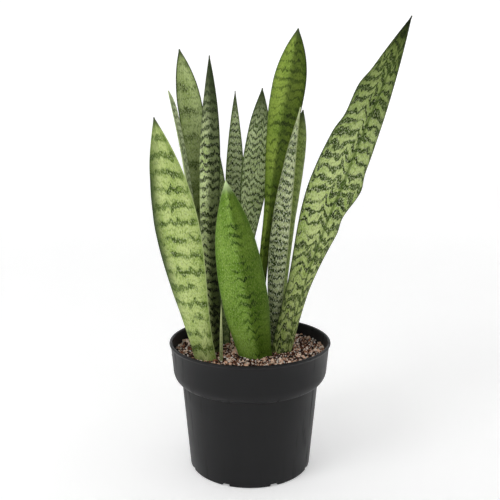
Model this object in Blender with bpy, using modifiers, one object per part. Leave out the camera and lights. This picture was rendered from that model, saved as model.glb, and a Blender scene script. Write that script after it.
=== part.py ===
"""Potted snake plant: a nursery pot, its potting mix, three rhizomes and thirteen leaves.

Metres, +Z up. The origin is the centre of the pot's underside, and +Y is the back.
"""
import math

import bmesh
import bpy
from mathutils import Vector

MM = 0.001
FIT = 0.3 * MM                 # gap between pieces that touch
POCKET = 0.4 * MM              # room around what is buried in the potting mix
WELD = 0.01 * MM

# Nursery pot: the 6.5 inch trade size
POT_HEIGHT = 132 * MM
LIP_RADIUS = 82.5 * MM         # outside of the rolled lip
LIP_BEAD = 1.5 * MM
BAND_TOP_RADIUS = 81.4 * MM    # the tall rim band, which tapers with the mould's draft
BAND_FOOT_RADIUS = 79 * MM
BAND_FOOT = 104.7 * MM
CREASE_RADIUS = 70.7 * MM      # where the rounded shoulder meets the body
CREASE = 91.6 * MM
BASE_RADIUS = 62.6 * MM
BASE_FILLET = 1.6 * MM
WALL = 1.7 * MM
FLOOR_UNDERSIDE = 3 * MM       # the floor is raised on a foot ring and a centre boss
FLOOR_TOP = 5 * MM
FOOT_RING_INNER = 57.5 * MM
BOSS_RADIUS = 12 * MM
DRAIN_COUNT = 8
DRAIN_RADIUS = 4.5 * MM
DRAIN_CIRCLE = 46 * MM
NOTCH_WIDTH = 8 * MM
POT_STEPS = 40

# Potting mix
MIX_CENTRE = 121 * MM          # height of its gently crowned top, in the middle
MIX_EDGE = 118.5 * MM          # and at the wall

# Rhizomes, which lie flat in the mix under the leaves' feet
RHIZOME_RADIUS = 7.4 * MM
RHIZOME_HEIGHT = 90 * MM
RHIZOME_ENDS = 0.55            # end radius as a share of the full one
RHIZOME_STEPS = 4

# Leaves
LEAF_FOOT = 98 * MM            # height of every leaf's foot, just over its rhizome
LEAF_ROWS = 16
LEAF_COLUMNS = 6
BLADE_THICKNESS = 3.4 * MM     # at the middle of a blade; the margins are a share of it
MARGIN_SHARE = 0.16
FOOT_SWELL = 1.5               # how much thicker a leaf is at its foot
TIP_HALF_WIDTH = 0.5 * MM
LEVEL_FOOT = 0.15              # share of the length over which a level foot turns square
CUP_LENGTH = 0.45              # share of the length over which the channel opens

RHIZOMES = {
    "rhizome_left": [(-45, -38), (-38, -18), (-37, 2), (-45, 24)],
    "rhizome_centre": [(11, -33), (5, -10), (-6, 12), (-15, 40)],
    "rhizome_right": [(30, -20), (29, -4), (33, 10), (38, 28)],
}

# Each leaf, in millimetres and degrees. foot and tip are where it starts and ends, and
# low_bow and high_bow are how far its spine is pushed aside at a third and two thirds.
# neck, widest and foot_share shape the width, power the tip: a larger one is blunter.
# face is the compass angle that its channel faces at the foot, and turn is how much that
# changes by the tip. cup is half the channel's arc, at the foot and on the blade.
LEAVES = {
    "leaf_front_left": dict(
        finish="leaf_light_green", foot=(-42, -27), tip=(-86, -52, 355),
        low_bow=(-5, -4), high_bow=(-1, -8), half_width=24.5, neck=0.08, widest=0.58,
        foot_share=0.58, power=2.0, face=62, turn=12, cup=(55, 28)),
    "leaf_front_centre": dict(
        finish="leaf_bright_green", foot=(12, -23), tip=(-22, -58, 299),
        low_bow=(-3, -4), high_bow=(-2, -8), half_width=23.5, neck=0.0, widest=0.42,
        foot_share=0.74, power=2.7, face=98, turn=-8, cup=(50, 32)),
    "leaf_tall_right": dict(
        finish="leaf_banded_green", foot=(30, -10), tip=(156, 12, 452),
        low_bow=(-23, -6), high_bow=(-15, -8), half_width=26.5, neck=0.22, widest=0.54,
        foot_share=0.50, power=1.8, face=112, turn=-30, cup=(60, 32)),
    "leaf_tall_centre": dict(
        finish="leaf_olive_green", foot=(2, 7), tip=(48, 30, 443),
        low_bow=(-3, 0), high_bow=(-10, 4), half_width=19.5, neck=0.42, widest=0.82,
        foot_share=0.28, power=2.3, face=62, turn=0, cup=(70, 25)),
    "leaf_pale_spear": dict(
        finish="leaf_pale_green", foot=(28, 5), tip=(48, -14, 365),
        low_bow=(-15, 0), high_bow=(-12, 2), half_width=11, neck=0.08, widest=0.50,
        foot_share=0.62, power=1.7, face=68, turn=0, cup=(60, 40)),
    "leaf_short_right": dict(
        finish="leaf_olive_green", foot=(36, 19), tip=(54, 34, 364),
        low_bow=(-17, 2), high_bow=(0, 4), half_width=12.5, neck=0.20, widest=0.80,
        foot_share=0.60, power=3.0, face=125, turn=0, cup=(60, 30)),
    "leaf_grey_middle": dict(
        finish="leaf_grey_green", foot=(-12, 16), tip=(13, 56, 387),
        low_bow=(-8, 4), high_bow=(0, 6), half_width=17, neck=0.32, widest=0.72,
        foot_share=0.36, power=2.0, face=-55, turn=-12, cup=(65, 28)),
    "leaf_needle": dict(
        finish="leaf_grey_green", foot=(-14, 34), tip=(-16, 72, 385),
        low_bow=(0, 3), high_bow=(0, 3), half_width=12, neck=0.15, widest=0.58,
        foot_share=0.50, power=1.9, face=-108, turn=0, cup=(60, 30)),
    "leaf_dark_tip": dict(
        finish="leaf_dark_green", foot=(-33, -11), tip=(-40, 20, 416),
        low_bow=(-11, 3), high_bow=(-4, 1), half_width=12.5, neck=0.15, widest=0.68,
        foot_share=0.72, power=2.0, face=66, turn=0, cup=(65, 38)),
    "leaf_shaded": dict(
        finish="leaf_dark_green", foot=(-25, 15), tip=(-40, 38, 352),
        low_bow=(2, 2), high_bow=(3, 2), half_width=11, neck=0.15, widest=0.60,
        foot_share=0.50, power=2.0, face=-60, turn=0, cup=(60, 30)),
    "leaf_rear_left": dict(
        finish="leaf_light_green", foot=(-42, 20), tip=(-74, 62, 427),
        low_bow=(6, 4), high_bow=(11, 4), half_width=14, neck=0.15, widest=0.80,
        foot_share=0.50, power=2.2, face=-62, turn=-10, cup=(60, 28)),
    "leaf_edge_left": dict(
        finish="leaf_dark_green", foot=(-54, 6), tip=(-83, 36, 383),
        low_bow=(10, 2), high_bow=(16, 4), half_width=8, neck=0.10, widest=0.80,
        foot_share=0.60, power=7.0, face=-10, turn=-6, cup=(50, 22)),
    "leaf_sprout": dict(
        finish="leaf_pale_green", foot=(-29, -33), tip=(-27, -42, 184),
        low_bow=(1, 0), high_bow=(-1, 0), half_width=1.7, neck=0.0, widest=0.30,
        foot_share=0.80, power=1.5, face=90, turn=0, cup=(60, 60), thickness=0.6),
}

# sRGB colour and roughness of each material
MATERIALS = {
    "pot_plastic": ("2B2B2C", 0.42),
    "potting_mix": ("5C3A2B", 0.95),
    "rhizome": ("C9A45A", 0.70),
    "leaf_light_green": ("9CB06C", 0.42),
    "leaf_bright_green": ("7D9D48", 0.38),
    "leaf_banded_green": ("87965A", 0.42),
    "leaf_olive_green": ("6D7C42", 0.42),
    "leaf_pale_green": ("A3AC7C", 0.45),
    "leaf_grey_green": ("7C8A60", 0.48),
    "leaf_dark_green": ("5C6A3D", 0.45),
}


def clear_scene():
    for item in list(bpy.data.objects):
        bpy.data.objects.remove(item, do_unlink=True)


def make_collection(name):
    collection = bpy.data.collections.new(name)
    bpy.context.scene.collection.children.link(collection)
    return collection


def linear(channel):
    """One sRGB channel, 0 to 1, as linear light."""
    if channel <= 0.04045:
        return channel / 12.92
    return ((channel + 0.055) / 1.055) ** 2.4


def make_material(name, colour, roughness):
    material = bpy.data.materials.new(name)
    material.use_nodes = True
    shader = material.node_tree.nodes["Principled BSDF"]
    channels = [linear(int(colour[i:i + 2], 16) / 255) for i in (0, 2, 4)]
    shader.inputs["Base Color"].default_value = (*channels, 1)
    shader.inputs["Roughness"].default_value = roughness
    shader.inputs["Metallic"].default_value = 0
    return material


def make_object(name, mesh, collection, material=None):
    item = bpy.data.objects.new(name, mesh)
    collection.objects.link(item)
    if material:
        mesh.materials.append(material)
        mesh.shade_smooth()
    else:
        item.hide_render = True
        item.display_type = 'WIRE'
    return item


def mesh_from(bm, name):
    mesh = bpy.data.meshes.new(name)
    bm.to_mesh(mesh)
    bm.free()
    return mesh


def arc(centre, radii, start, end, steps):
    """Points of an elliptical arc in the (radius, height) plane, angles in degrees."""
    points = []
    for k in range(steps + 1):
        angle = math.radians(start + (end - start) * k / steps)
        points.append((centre[0] + radii[0] * math.cos(angle),
                       centre[1] + radii[1] * math.sin(angle)))
    return points


def turned(name, profile, collection, material):
    """A solid turned from a profile that goes up its inside and down its outside."""
    bm = bmesh.new()
    points = [bm.verts.new((radius, 0, height)) for radius, height in profile]
    for first, second in zip(points, points[1:]):
        bm.edges.new((first, second))
    item = make_object(name, mesh_from(bm, name), collection, material)
    screw = item.modifiers.new("turn", 'SCREW')
    screw.steps = POT_STEPS
    screw.render_steps = POT_STEPS
    screw.use_smooth_shade = True
    screw.use_merge_vertices = True
    screw.merge_threshold = WELD
    return item


def subtract(item, cutter):
    boolean = item.modifiers.new("cut " + cutter.name, 'BOOLEAN')
    boolean.operation = 'DIFFERENCE'
    boolean.solver = 'EXACT'
    boolean.object = cutter


def band_radius(height):
    """Outer radius of the pot's rim band at a height."""
    share = (height - BAND_FOOT) / (POT_HEIGHT - BAND_FOOT)
    return BAND_FOOT_RADIUS + (BAND_TOP_RADIUS - BAND_FOOT_RADIUS) * share


def shoulder(inset):
    """The rounded step from the rim band down to the body, moved in by inset."""
    centre = (CREASE_RADIUS - inset, BAND_FOOT)
    radii = (BAND_FOOT_RADIUS - CREASE_RADIUS, BAND_FOOT - CREASE)
    return arc(centre, radii, 0, -90, 4)


def inner_wall(clearance):
    """Outline of the pot's inside from the floor up to the foot of the rim band."""
    inset = WALL + clearance
    return [(BASE_RADIUS - inset - BASE_FILLET, FLOOR_TOP + clearance),
            (BASE_RADIUS - inset, FLOOR_TOP + clearance + BASE_FILLET),
            *reversed(shoulder(inset))]


def pot_profile():
    lip_centre = (LIP_RADIUS - LIP_BEAD, POT_HEIGHT - LIP_BEAD)
    lip_inner = LIP_RADIUS - 2 * LIP_BEAD
    return [(0, FLOOR_TOP),
            *inner_wall(0),
            (lip_inner, POT_HEIGHT - 2 * LIP_BEAD),
            *arc(lip_centre, (LIP_BEAD, LIP_BEAD), 180, -60, 5),
            (band_radius(POT_HEIGHT - 3 * LIP_BEAD), POT_HEIGHT - 3 * LIP_BEAD),
            *shoulder(0),
            (CREASE_RADIUS - 0.2 * MM, CREASE - 1 * MM),
            (BASE_RADIUS, BASE_FILLET),
            (BASE_RADIUS - BASE_FILLET, 0),
            (FOOT_RING_INNER, 0),
            (FOOT_RING_INNER - 1 * MM, FLOOR_UNDERSIDE),
            (BOSS_RADIUS + 1 * MM, FLOOR_UNDERSIDE),
            (BOSS_RADIUS, 0),
            (0, 0)]


def make_pot(parts, cutters, material):
    pot = turned("nursery_pot", pot_profile(), parts, material)
    drains = bmesh.new()
    notches = bmesh.new()
    for k in range(DRAIN_COUNT):
        angle = 2 * math.pi * (k + 0.5) / DRAIN_COUNT
        outward = Vector((math.cos(angle), math.sin(angle), 0))
        made = bmesh.ops.create_cone(drains, cap_ends=True, segments=12, depth=10 * MM,
                                     radius1=DRAIN_RADIUS, radius2=DRAIN_RADIUS)
        bmesh.ops.translate(drains, verts=made["verts"],
                            vec=outward * DRAIN_CIRCLE + Vector((0, 0, 4 * MM)))
        made = bmesh.ops.create_cube(notches, size=1)
        bmesh.ops.scale(notches, verts=made["verts"],
                        vec=(14 * MM, NOTCH_WIDTH, 2 * (FLOOR_UNDERSIDE - FIT)))
        bmesh.ops.translate(notches, verts=made["verts"],
                            vec=((BASE_RADIUS + FOOT_RING_INNER) / 2, 0, 0))
        bmesh.ops.rotate(notches, verts=made["verts"], cent=(0, 0, 0),
                         matrix=Vector((1, 0, 0)).rotation_difference(outward).to_matrix())
    subtract(pot, make_object("drain_cutter", mesh_from(drains, "drain_cutter"), cutters))
    subtract(pot, make_object("notch_cutter", mesh_from(notches, "notch_cutter"), cutters))
    return pot


def mix_profile():
    inset = WALL + FIT
    rise = MIX_CENTRE - MIX_EDGE
    edge = band_radius(MIX_EDGE) - inset
    crown = [(edge * k / 3, MIX_CENTRE - rise * (k / 3) ** 2) for k in range(4)]
    walls = list(reversed(inner_wall(FIT)))
    return [*crown, *walls, (0, FLOOR_TOP + FIT)]


def smooth_step(low, high, value):
    share = min(max((value - low) / (high - low), 0), 1)
    return share * share * (3 - 2 * share)


def leaf_width(leaf, along):
    """Half width of the blade at a share of its length, in metres."""
    rise = smooth_step(leaf["neck"], leaf["widest"], along)
    taper = max((along - leaf["widest"]) / (1 - leaf["widest"]), 0)
    share = (leaf["foot_share"] + (1 - leaf["foot_share"]) * rise) * (1 - taper ** leaf["power"])
    return max(leaf["half_width"] * MM * share, TIP_HALF_WIDTH)


def leaf_spine(leaf, along):
    """Point and direction of the midrib, a Bezier curve from the foot to the tip."""
    foot = Vector((*leaf["foot"], LEAF_FOOT / MM))
    tip = Vector(leaf["tip"])
    lower = foot.lerp(tip, 1 / 3) + Vector((*leaf["low_bow"], 0))
    upper = foot.lerp(tip, 2 / 3) + Vector((*leaf["high_bow"], 0))
    rest = 1 - along
    point = (rest ** 3 * foot + 3 * rest ** 2 * along * lower
             + 3 * rest * along ** 2 * upper + along ** 3 * tip)
    heading = (rest ** 2 * (lower - foot) + 2 * rest * along * (upper - lower)
               + along ** 2 * (tip - upper))
    return point * MM, heading.normalized()


def leaf_point(leaf, across, along, widen):
    """A point of the leaf's middle sheet: across runs from -1 to 1, along from 0 to 1."""
    point, heading = leaf_spine(leaf, along)
    angle = math.radians(leaf["face"] + leaf["turn"] * along)
    face = Vector((math.cos(angle), math.sin(angle), 0))
    level = face.cross(Vector((0, 0, 1)))
    square = face.cross(heading).normalized()
    side = level.lerp(square, smooth_step(0, LEVEL_FOOT, along)).normalized()
    inward = face.lerp(heading.cross(square), smooth_step(0, LEVEL_FOOT, along)).normalized()
    foot_cup, blade_cup = leaf["cup"]
    cup = math.radians(foot_cup + (blade_cup - foot_cup) * smooth_step(0, CUP_LENGTH, along))
    radius = (leaf_width(leaf, along) + widen) / cup
    turn = cup * across
    return point + side * radius * math.sin(turn) + inward * radius * (1 - math.cos(turn))


def leaf_thickness(across, along):
    """Share of the leaf's full thickness: a lens that swells at the foot, thins at the tip."""
    lens = math.sqrt(max(1 - across * across, 0))
    length = 1 + (1 / FOOT_SWELL - 1) * smooth_step(0, CUP_LENGTH, along)
    return lens * length * (1 - 0.6 * smooth_step(0.6, 1, along))


def leaf_solid(name, leaf, collection, material=None, room=0, start=0, end=1, rows=LEAF_ROWS):
    """The leaf as a cupped sheet with a wall. room, start and end make its pocket."""
    bm = bmesh.new()
    bmesh.ops.create_grid(bm, x_segments=LEAF_COLUMNS, y_segments=rows, size=1)
    bm.verts.ensure_lookup_table()
    weights = []
    for vertex in bm.verts:
        across = vertex.co.x
        along = start + (end - start) * (vertex.co.y + 1) / 2
        vertex.co = leaf_point(leaf, across, along, room)
        weights.append(leaf_thickness(across, along))
    item = make_object(name, mesh_from(bm, name), collection, material)
    group = item.vertex_groups.new(name="thickness")
    for index, weight in enumerate(weights):
        group.add([index], weight, 'REPLACE')
    solid = BLADE_THICKNESS * FOOT_SWELL * leaf.get("thickness", 1)
    wall = item.modifiers.new("wall", 'SOLIDIFY')
    wall.thickness = solid + 2 * room
    wall.offset = 0
    wall.vertex_group = group.name
    wall.thickness_vertex_group = (solid * MARGIN_SHARE + 2 * room) / (solid + 2 * room)
    return item


def leaf_pocket(name, leaf, cutters):
    """The room that a leaf's buried foot takes up in the potting mix."""
    span = leaf["tip"][2] * MM - LEAF_FOOT
    start = -4 * POCKET / span
    end = (MIX_CENTRE + 5 * MM - LEAF_FOOT) / span
    return leaf_solid("pocket_of_" + name, leaf, cutters, room=POCKET,
                      start=start, end=end, rows=4)


def stretched(path):
    """The path made a pocket's width longer at both ends."""
    first, second, before, last = (Vector(path[k]) for k in (0, 1, -2, -1))
    reach = 2 * POCKET / MM
    return [first + (first - second).normalized() * reach, *path[1:-1],
            last + (last - before).normalized() * reach]


def rhizome_solid(name, path, radius, collection, material=None):
    """A thick stem with tapered ends along a smooth path, as one closed mesh."""
    curve = bpy.data.curves.new(name, 'CURVE')
    curve.dimensions = '3D'
    curve.bevel_depth = radius
    curve.bevel_resolution = 2
    curve.use_fill_caps = True
    spline = curve.splines.new('BEZIER')
    spline.bezier_points.add(len(path) - 1)
    spline.resolution_u = RHIZOME_STEPS
    for point, (x, y) in zip(spline.bezier_points, path):
        point.co = (x * MM, y * MM, RHIZOME_HEIGHT)
        point.handle_left_type = 'AUTO'
        point.handle_right_type = 'AUTO'
    spline.bezier_points[0].radius = RHIZOME_ENDS
    spline.bezier_points[-1].radius = RHIZOME_ENDS
    guide = bpy.data.objects.new(name + "_path", curve)
    collection.objects.link(guide)
    evaluated = guide.evaluated_get(bpy.context.evaluated_depsgraph_get())
    mesh = bpy.data.meshes.new_from_object(evaluated)
    bpy.data.objects.remove(guide, do_unlink=True)
    bm = bmesh.new()
    bm.from_mesh(mesh)
    bmesh.ops.remove_doubles(bm, verts=bm.verts, dist=WELD)
    bm.to_mesh(mesh)
    bm.free()
    mesh.materials.clear()
    return make_object(name, mesh, collection, material)


def main():
    clear_scene()
    parts = make_collection("potted_snake_plant")
    cutters = make_collection("cutters")
    materials = {name: make_material(name, *look) for name, look in MATERIALS.items()}
    make_pot(parts, cutters, materials["pot_plastic"])
    mix = turned("potting_mix", mix_profile(), parts, materials["potting_mix"])
    for name, path in RHIZOMES.items():
        rhizome_solid(name, path, RHIZOME_RADIUS, parts, materials["rhizome"])
        bed = rhizome_solid("bed_of_" + name, stretched(path), RHIZOME_RADIUS + POCKET, cutters)
        subtract(mix, bed)
    for name, leaf in LEAVES.items():
        leaf_solid(name, leaf, parts, materials[leaf["finish"]])
        subtract(mix, leaf_pocket(name, leaf, cutters))


main()
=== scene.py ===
# %% [markdown]
# # A potted snake plant
#
# The plant is a clump of stiff, sword-shaped leaves that stand up from short thick stems
# buried in a crumbly potting mix, in a black nursery pot. The frame gives every piece its
# place. Here each one gets its fine shape and its finish: the pot is turned, the leaves
# and the crumbs are made by Geometry Nodes, and the crossbands are painted by rules.

# %% Load the frame
import math

import bmesh
import bpy
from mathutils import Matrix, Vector, noise


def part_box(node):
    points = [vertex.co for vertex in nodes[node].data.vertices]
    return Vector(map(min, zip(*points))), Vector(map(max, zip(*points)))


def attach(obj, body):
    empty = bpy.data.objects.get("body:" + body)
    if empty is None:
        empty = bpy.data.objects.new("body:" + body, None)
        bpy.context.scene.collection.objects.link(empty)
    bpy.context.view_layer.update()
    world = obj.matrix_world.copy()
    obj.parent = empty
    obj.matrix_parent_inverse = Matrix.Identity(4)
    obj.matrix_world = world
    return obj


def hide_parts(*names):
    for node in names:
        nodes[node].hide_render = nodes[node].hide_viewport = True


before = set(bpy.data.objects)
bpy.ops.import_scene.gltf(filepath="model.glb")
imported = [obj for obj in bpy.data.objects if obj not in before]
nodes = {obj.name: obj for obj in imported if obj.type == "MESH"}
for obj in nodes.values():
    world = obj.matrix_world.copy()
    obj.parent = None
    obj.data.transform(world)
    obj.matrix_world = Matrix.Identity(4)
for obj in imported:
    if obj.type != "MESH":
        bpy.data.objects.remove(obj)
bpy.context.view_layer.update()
MM = 0.001

# %% [markdown]
# ## A few helpers
#
# Every tree below, for shapes and for finishes, is built with one small helper that adds
# a node, sets its options and fills its sockets. Colours are written the way a colour
# chart gives them, as sRGB hex values, and turned to the linear light that shaders use.
# Three more helpers start a material, link it to its shader, and hand over a piece.

# %% Helpers for nodes, colours, materials and pieces
def live_output(value):
    """A node's first live output. Anything else stays as it is."""
    if isinstance(value, bpy.types.Node):
        return next(output for output in value.outputs if output.enabled)
    return value


def add(tree, kind, values=(), **options):
    """A new node. values fill its live sockets in order, or by name from a dict.

    A socket given as a value is linked, a node from its first live output. None is
    passed over.
    """
    node = tree.nodes.new(kind)
    for option, choice in options.items():
        setattr(node, option, choice)
    sockets = [socket for socket in node.inputs if socket.enabled]
    pairs = values.items() if isinstance(values, dict) else enumerate(values)
    for key, value in pairs:
        if isinstance(key, str):
            socket = next(socket for socket in sockets if socket.name == key)
        else:
            socket = sockets[key]
        value = live_output(value)
        if isinstance(value, bpy.types.NodeSocket):
            tree.links.new(value, socket)
        elif value is not None:
            socket.default_value = value
    return node


def colour(code):
    """A colour chart's hex value as linear red, green, blue and alpha."""
    channels = [int(code[k:k + 2], 16) / 255 for k in (0, 2, 4)]
    return (*(c / 12.92 if c <= 0.04045 else ((c + 0.055) / 1.055) ** 2.4
              for c in channels), 1)


def new_material(name, **constants):
    """A material, its tree and its Principled shader, with constants set on the shader."""
    material = bpy.data.materials.new(name)
    material.use_nodes = True
    shader = material.node_tree.nodes["Principled BSDF"]
    for socket, value in constants.items():
        shader.inputs[socket.replace("_", " ")].default_value = value
    return material, material.node_tree, shader


def dress(shader, **fields):
    """Links what a material has worked out to the sockets of its shader."""
    for socket, field in fields.items():
        shader.id_data.links.new(live_output(field), shader.inputs[socket.replace("_", " ")])


def new_piece(name, mesh, slot, *replaced):
    """A finished piece that rides on the one body, with the finish its mesh holds; slot is not
    used.
    """
    piece = bpy.data.objects.new(name, mesh)
    bpy.context.scene.collection.objects.link(piece)
    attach(piece, "root")
    if replaced:
        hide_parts(*replaced)
    print(name, len(mesh.vertices), "points,", len(mesh.polygons), "faces")
    return piece


print("mid grey 777777 is", round(colour("777777")[0], 3), "in linear light")

# %% [markdown]
# ## The pot's plastic
#
# A nursery pot is injection-moulded polypropylene, coloured right through with carbon
# black. The eye sees a soft satin sheen that is never quite even: the mould leaves a fine
# grain of about half a millimetre, the melt leaves slow clouds in the gloss, and handling
# and dried splashes leave a thin grey bloom. All of it follows the piece's own
# coordinates in millimetres, because the plastic is the same in every direction.

# %% Moulded polypropylene
def polypropylene():
    material, tree, shader = new_material("injection_moulded_black_polypropylene", IOR=1.49,
                                          Specular_IOR_Level=0.2)
    place = add(tree, 'ShaderNodeTexCoord').outputs["Object"]
    grain = add(tree, 'ShaderNodeTexNoise',
                {"Vector": place, "Scale": 1 / (0.6 * MM), "Detail": 2.0})
    clouds = add(tree, 'ShaderNodeTexNoise',
                 {"Vector": place, "Scale": 1 / (34 * MM), "Detail": 3.0})
    # dried splashes run down the wall, so this noise is drawn out along Z
    runs = add(tree, 'ShaderNodeMapping', {"Vector": place, "Scale": (1, 1, 0.12)})
    splashes = add(tree, 'ShaderNodeTexNoise',
                   {"Vector": runs, "Scale": 1 / (7 * MM), "Detail": 4.0})
    bloom = add(tree, 'ShaderNodeMapRange', [splashes, 0.54, 0.78, 0.0, 0.35],
                interpolation_type='SMOOTHSTEP')
    tone = add(tree, 'ShaderNodeMix', [clouds, colour("131314"), colour("19191A")],
               data_type='RGBA')
    dusty = add(tree, 'ShaderNodeMix', [bloom, tone, colour("282827")], data_type='RGBA')
    gloss = add(tree, 'ShaderNodeMapRange', [clouds, 0.3, 0.7, 0.40, 0.50])
    matt = add(tree, 'ShaderNodeMath', [gloss, bloom], operation='ADD', use_clamp=True)
    bump = add(tree, 'ShaderNodeBump',
               {"Height": grain, "Strength": 0.35, "Distance": 0.08 * MM})
    dress(shader, Base_Color=dusty, Roughness=matt, Normal=bump)
    return material


plastic = polypropylene()
print("made", plastic.name, "with", len(plastic.node_tree.nodes), "nodes")

# %% [markdown]
# ## The pot
#
# The pot is one wall of even thickness: a tapering body, a rounded shoulder, a tall rim
# band and a small rolled lip. It is the same all the way round, so it is turned from its
# outline, with far more steps than the frame needs, and the holes and notches in its foot
# are cut afterwards. The outline is a closed path from the axis up the inside, over the
# lip, down the outside and back along the underside, which leaves no open edge.

# %% Outline of the pot
low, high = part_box("nursery_pot")
POT_HEIGHT = 132 * MM
LIP_RADIUS = 82.5 * MM
LIP_BEAD = 1.5 * MM
BAND_TOP_RADIUS = 81.4 * MM
BAND_FOOT_RADIUS, BAND_FOOT = 79 * MM, 104.7 * MM
CREASE_RADIUS, CREASE = 70.7 * MM, 91.6 * MM
BASE_RADIUS, BASE_FILLET = 62.6 * MM, 1.6 * MM
WALL = 1.7 * MM
FLOOR_UNDERSIDE, FLOOR_TOP = 3 * MM, 5 * MM
FOOT_RING_INNER, BOSS_RADIUS = 57.5 * MM, 12 * MM
print("the frame's pot is", round(high.z / MM, 1), "mm tall and",
      round((high.x - low.x) / MM, 1), "mm wide; this one is to be",
      round(POT_HEIGHT / MM, 1), "and", round(2 * LIP_RADIUS / MM, 1))


def arc(centre, radii, start, end, steps):
    """Points of an elliptical arc in the (radius, height) plane, angles in degrees."""
    angles = (math.radians(start + (end - start) * k / steps) for k in range(steps + 1))
    return [(centre[0] + radii[0] * math.cos(a), centre[1] + radii[1] * math.sin(a))
            for a in angles]


def band_radius(height):
    """Outer radius of the rim band at a height."""
    share = (height - BAND_FOOT) / (POT_HEIGHT - BAND_FOOT)
    return BAND_FOOT_RADIUS + (BAND_TOP_RADIUS - BAND_FOOT_RADIUS) * share


def shoulder(inset):
    """The rounded step from the rim band down to the body."""
    centre = (CREASE_RADIUS - inset, BAND_FOOT)
    return arc(centre, (BAND_FOOT_RADIUS - CREASE_RADIUS, BAND_FOOT - CREASE), 0, -90, 14)


pot_outline = [
    (0, FLOOR_TOP),
    (BASE_RADIUS - WALL - BASE_FILLET, FLOOR_TOP),
    (BASE_RADIUS - WALL, FLOOR_TOP + BASE_FILLET),
    *reversed(shoulder(WALL)),
    (LIP_RADIUS - 2 * LIP_BEAD, POT_HEIGHT - 2 * LIP_BEAD),
    *arc((LIP_RADIUS - LIP_BEAD, POT_HEIGHT - LIP_BEAD), (LIP_BEAD, LIP_BEAD), 180, -60, 12),
    (band_radius(POT_HEIGHT - 3 * LIP_BEAD), POT_HEIGHT - 3 * LIP_BEAD),
    (band_radius(BAND_FOOT + 10 * MM), BAND_FOOT + 10 * MM),
    *shoulder(0),
    (CREASE_RADIUS - 0.3 * MM, CREASE - 0.5 * MM),
    (CREASE_RADIUS - 0.5 * MM, CREASE - 2 * MM),
    *arc((BASE_RADIUS - BASE_FILLET, BASE_FILLET), (BASE_FILLET, BASE_FILLET), 0, -90, 6),
    (FOOT_RING_INNER, 0),
    (FOOT_RING_INNER - 1 * MM, FLOOR_UNDERSIDE),
    (BOSS_RADIUS + 1 * MM, FLOOR_UNDERSIDE),
    (BOSS_RADIUS, 0),
    (0, 0),
]
print("the outline has", len(pot_outline), "points")

# %% [markdown]
# A turned shell could come from a Screw modifier. It is built ring by ring here instead,
# so that the points on the axis are single ones and the shell is closed from the start.

# %% Turn it
POT_STEPS = 160
REAL_CORNER = 40        # degrees between two faces that stay a sharp corner


def turned(outline, steps):
    """A shell turned round Z, closed where its outline starts and ends on the axis."""
    bm = bmesh.new()
    rings = []
    for radius, height in outline:
        count = steps if radius > 0 else 1
        turns = (2 * math.pi * k / count for k in range(count))
        rings.append([bm.verts.new((radius * math.cos(a), radius * math.sin(a), height))
                      for a in turns])
    for first, second in zip(rings, rings[1:]):
        for k in range(steps):
            corners = [first[k % len(first)], first[(k + 1) % len(first)],
                       second[(k + 1) % len(second)], second[k % len(second)]]
            bm.faces.new(list(dict.fromkeys(corners)))
    bmesh.ops.recalc_face_normals(bm, faces=bm.faces)
    return bm


def mesh_of(bm, name, material=None):
    """The mesh of a bmesh, smooth except at its real corners."""
    mesh = bpy.data.meshes.new(name)
    bm.to_mesh(mesh)
    bm.free()
    if material:
        mesh.materials.append(material)
    mesh.shade_smooth()
    mesh.set_sharp_from_angle(angle=math.radians(REAL_CORNER))
    return mesh


blank_mesh = mesh_of(turned(pot_outline, POT_STEPS), "blank", plastic)
print("turned, the pot has", len(blank_mesh.polygons), "faces")

# %% [markdown]
# Water leaves the pot by round drains in its floor, and gets out from under it by
# notches in the ring that it stands on. Both are cut at once, by a Boolean modifier and
# one cutter that is removed again.

# %% Cut the drains and the notches
DRAINS, DRAIN_RADIUS, DRAIN_CIRCLE = 8, 4.5 * MM, 46 * MM
NOTCH_SIZE = (14 * MM, 8 * MM, 5.4 * MM)        # through the ring, along it, and its height


def foot_cutters():
    """Round drains in the floor, and a notch in the foot ring beside each."""
    bm = bmesh.new()
    for k in range(DRAINS):
        angle = 2 * math.pi * (k + 0.5) / DRAINS
        outward = Vector((math.cos(angle), math.sin(angle), 0))
        drain = bmesh.ops.create_cone(bm, cap_ends=True, segments=28, depth=2 * FLOOR_TOP,
                                      radius1=DRAIN_RADIUS, radius2=DRAIN_RADIUS)
        floor_middle = Vector((0, 0, (FLOOR_UNDERSIDE + FLOOR_TOP) / 2))
        bmesh.ops.translate(bm, verts=drain["verts"],
                            vec=outward * DRAIN_CIRCLE + floor_middle)
        notch = bmesh.ops.create_cube(bm, size=1)["verts"]
        bmesh.ops.scale(bm, verts=notch, vec=NOTCH_SIZE)
        bmesh.ops.translate(bm, verts=notch,
                            vec=((BASE_RADIUS + FOOT_RING_INNER) / 2, 0, 0))
        turn = Vector((1, 0, 0)).rotation_difference(outward).to_matrix()
        bmesh.ops.rotate(bm, verts=notch, cent=(0, 0, 0), matrix=turn)
    return bm


def baked(source, name):
    """The plain mesh that an object's modifiers make."""
    bpy.context.view_layer.update()
    graph = bpy.context.evaluated_depsgraph_get()
    mesh = bpy.data.meshes.new_from_object(source.evaluated_get(graph))
    mesh.name = name
    return mesh


def make_pot():
    blank = bpy.data.objects.new("blank", blank_mesh)
    cutter = bpy.data.objects.new("cutter", mesh_of(foot_cutters(), "cutter"))
    for item in (blank, cutter):
        bpy.context.scene.collection.objects.link(item)
    cut = blank.modifiers.new("drains", 'BOOLEAN')
    cut.operation, cut.solver, cut.object = 'DIFFERENCE', 'EXACT', cutter
    mesh = baked(blank, "nursery_pot_turned")
    for item in (blank, cutter):
        bpy.data.objects.remove(item)
    mesh.set_sharp_from_angle(angle=math.radians(REAL_CORNER))
    new_piece("pot_turned", mesh, "pot_plastic", "nursery_pot")


make_pot()

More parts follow.
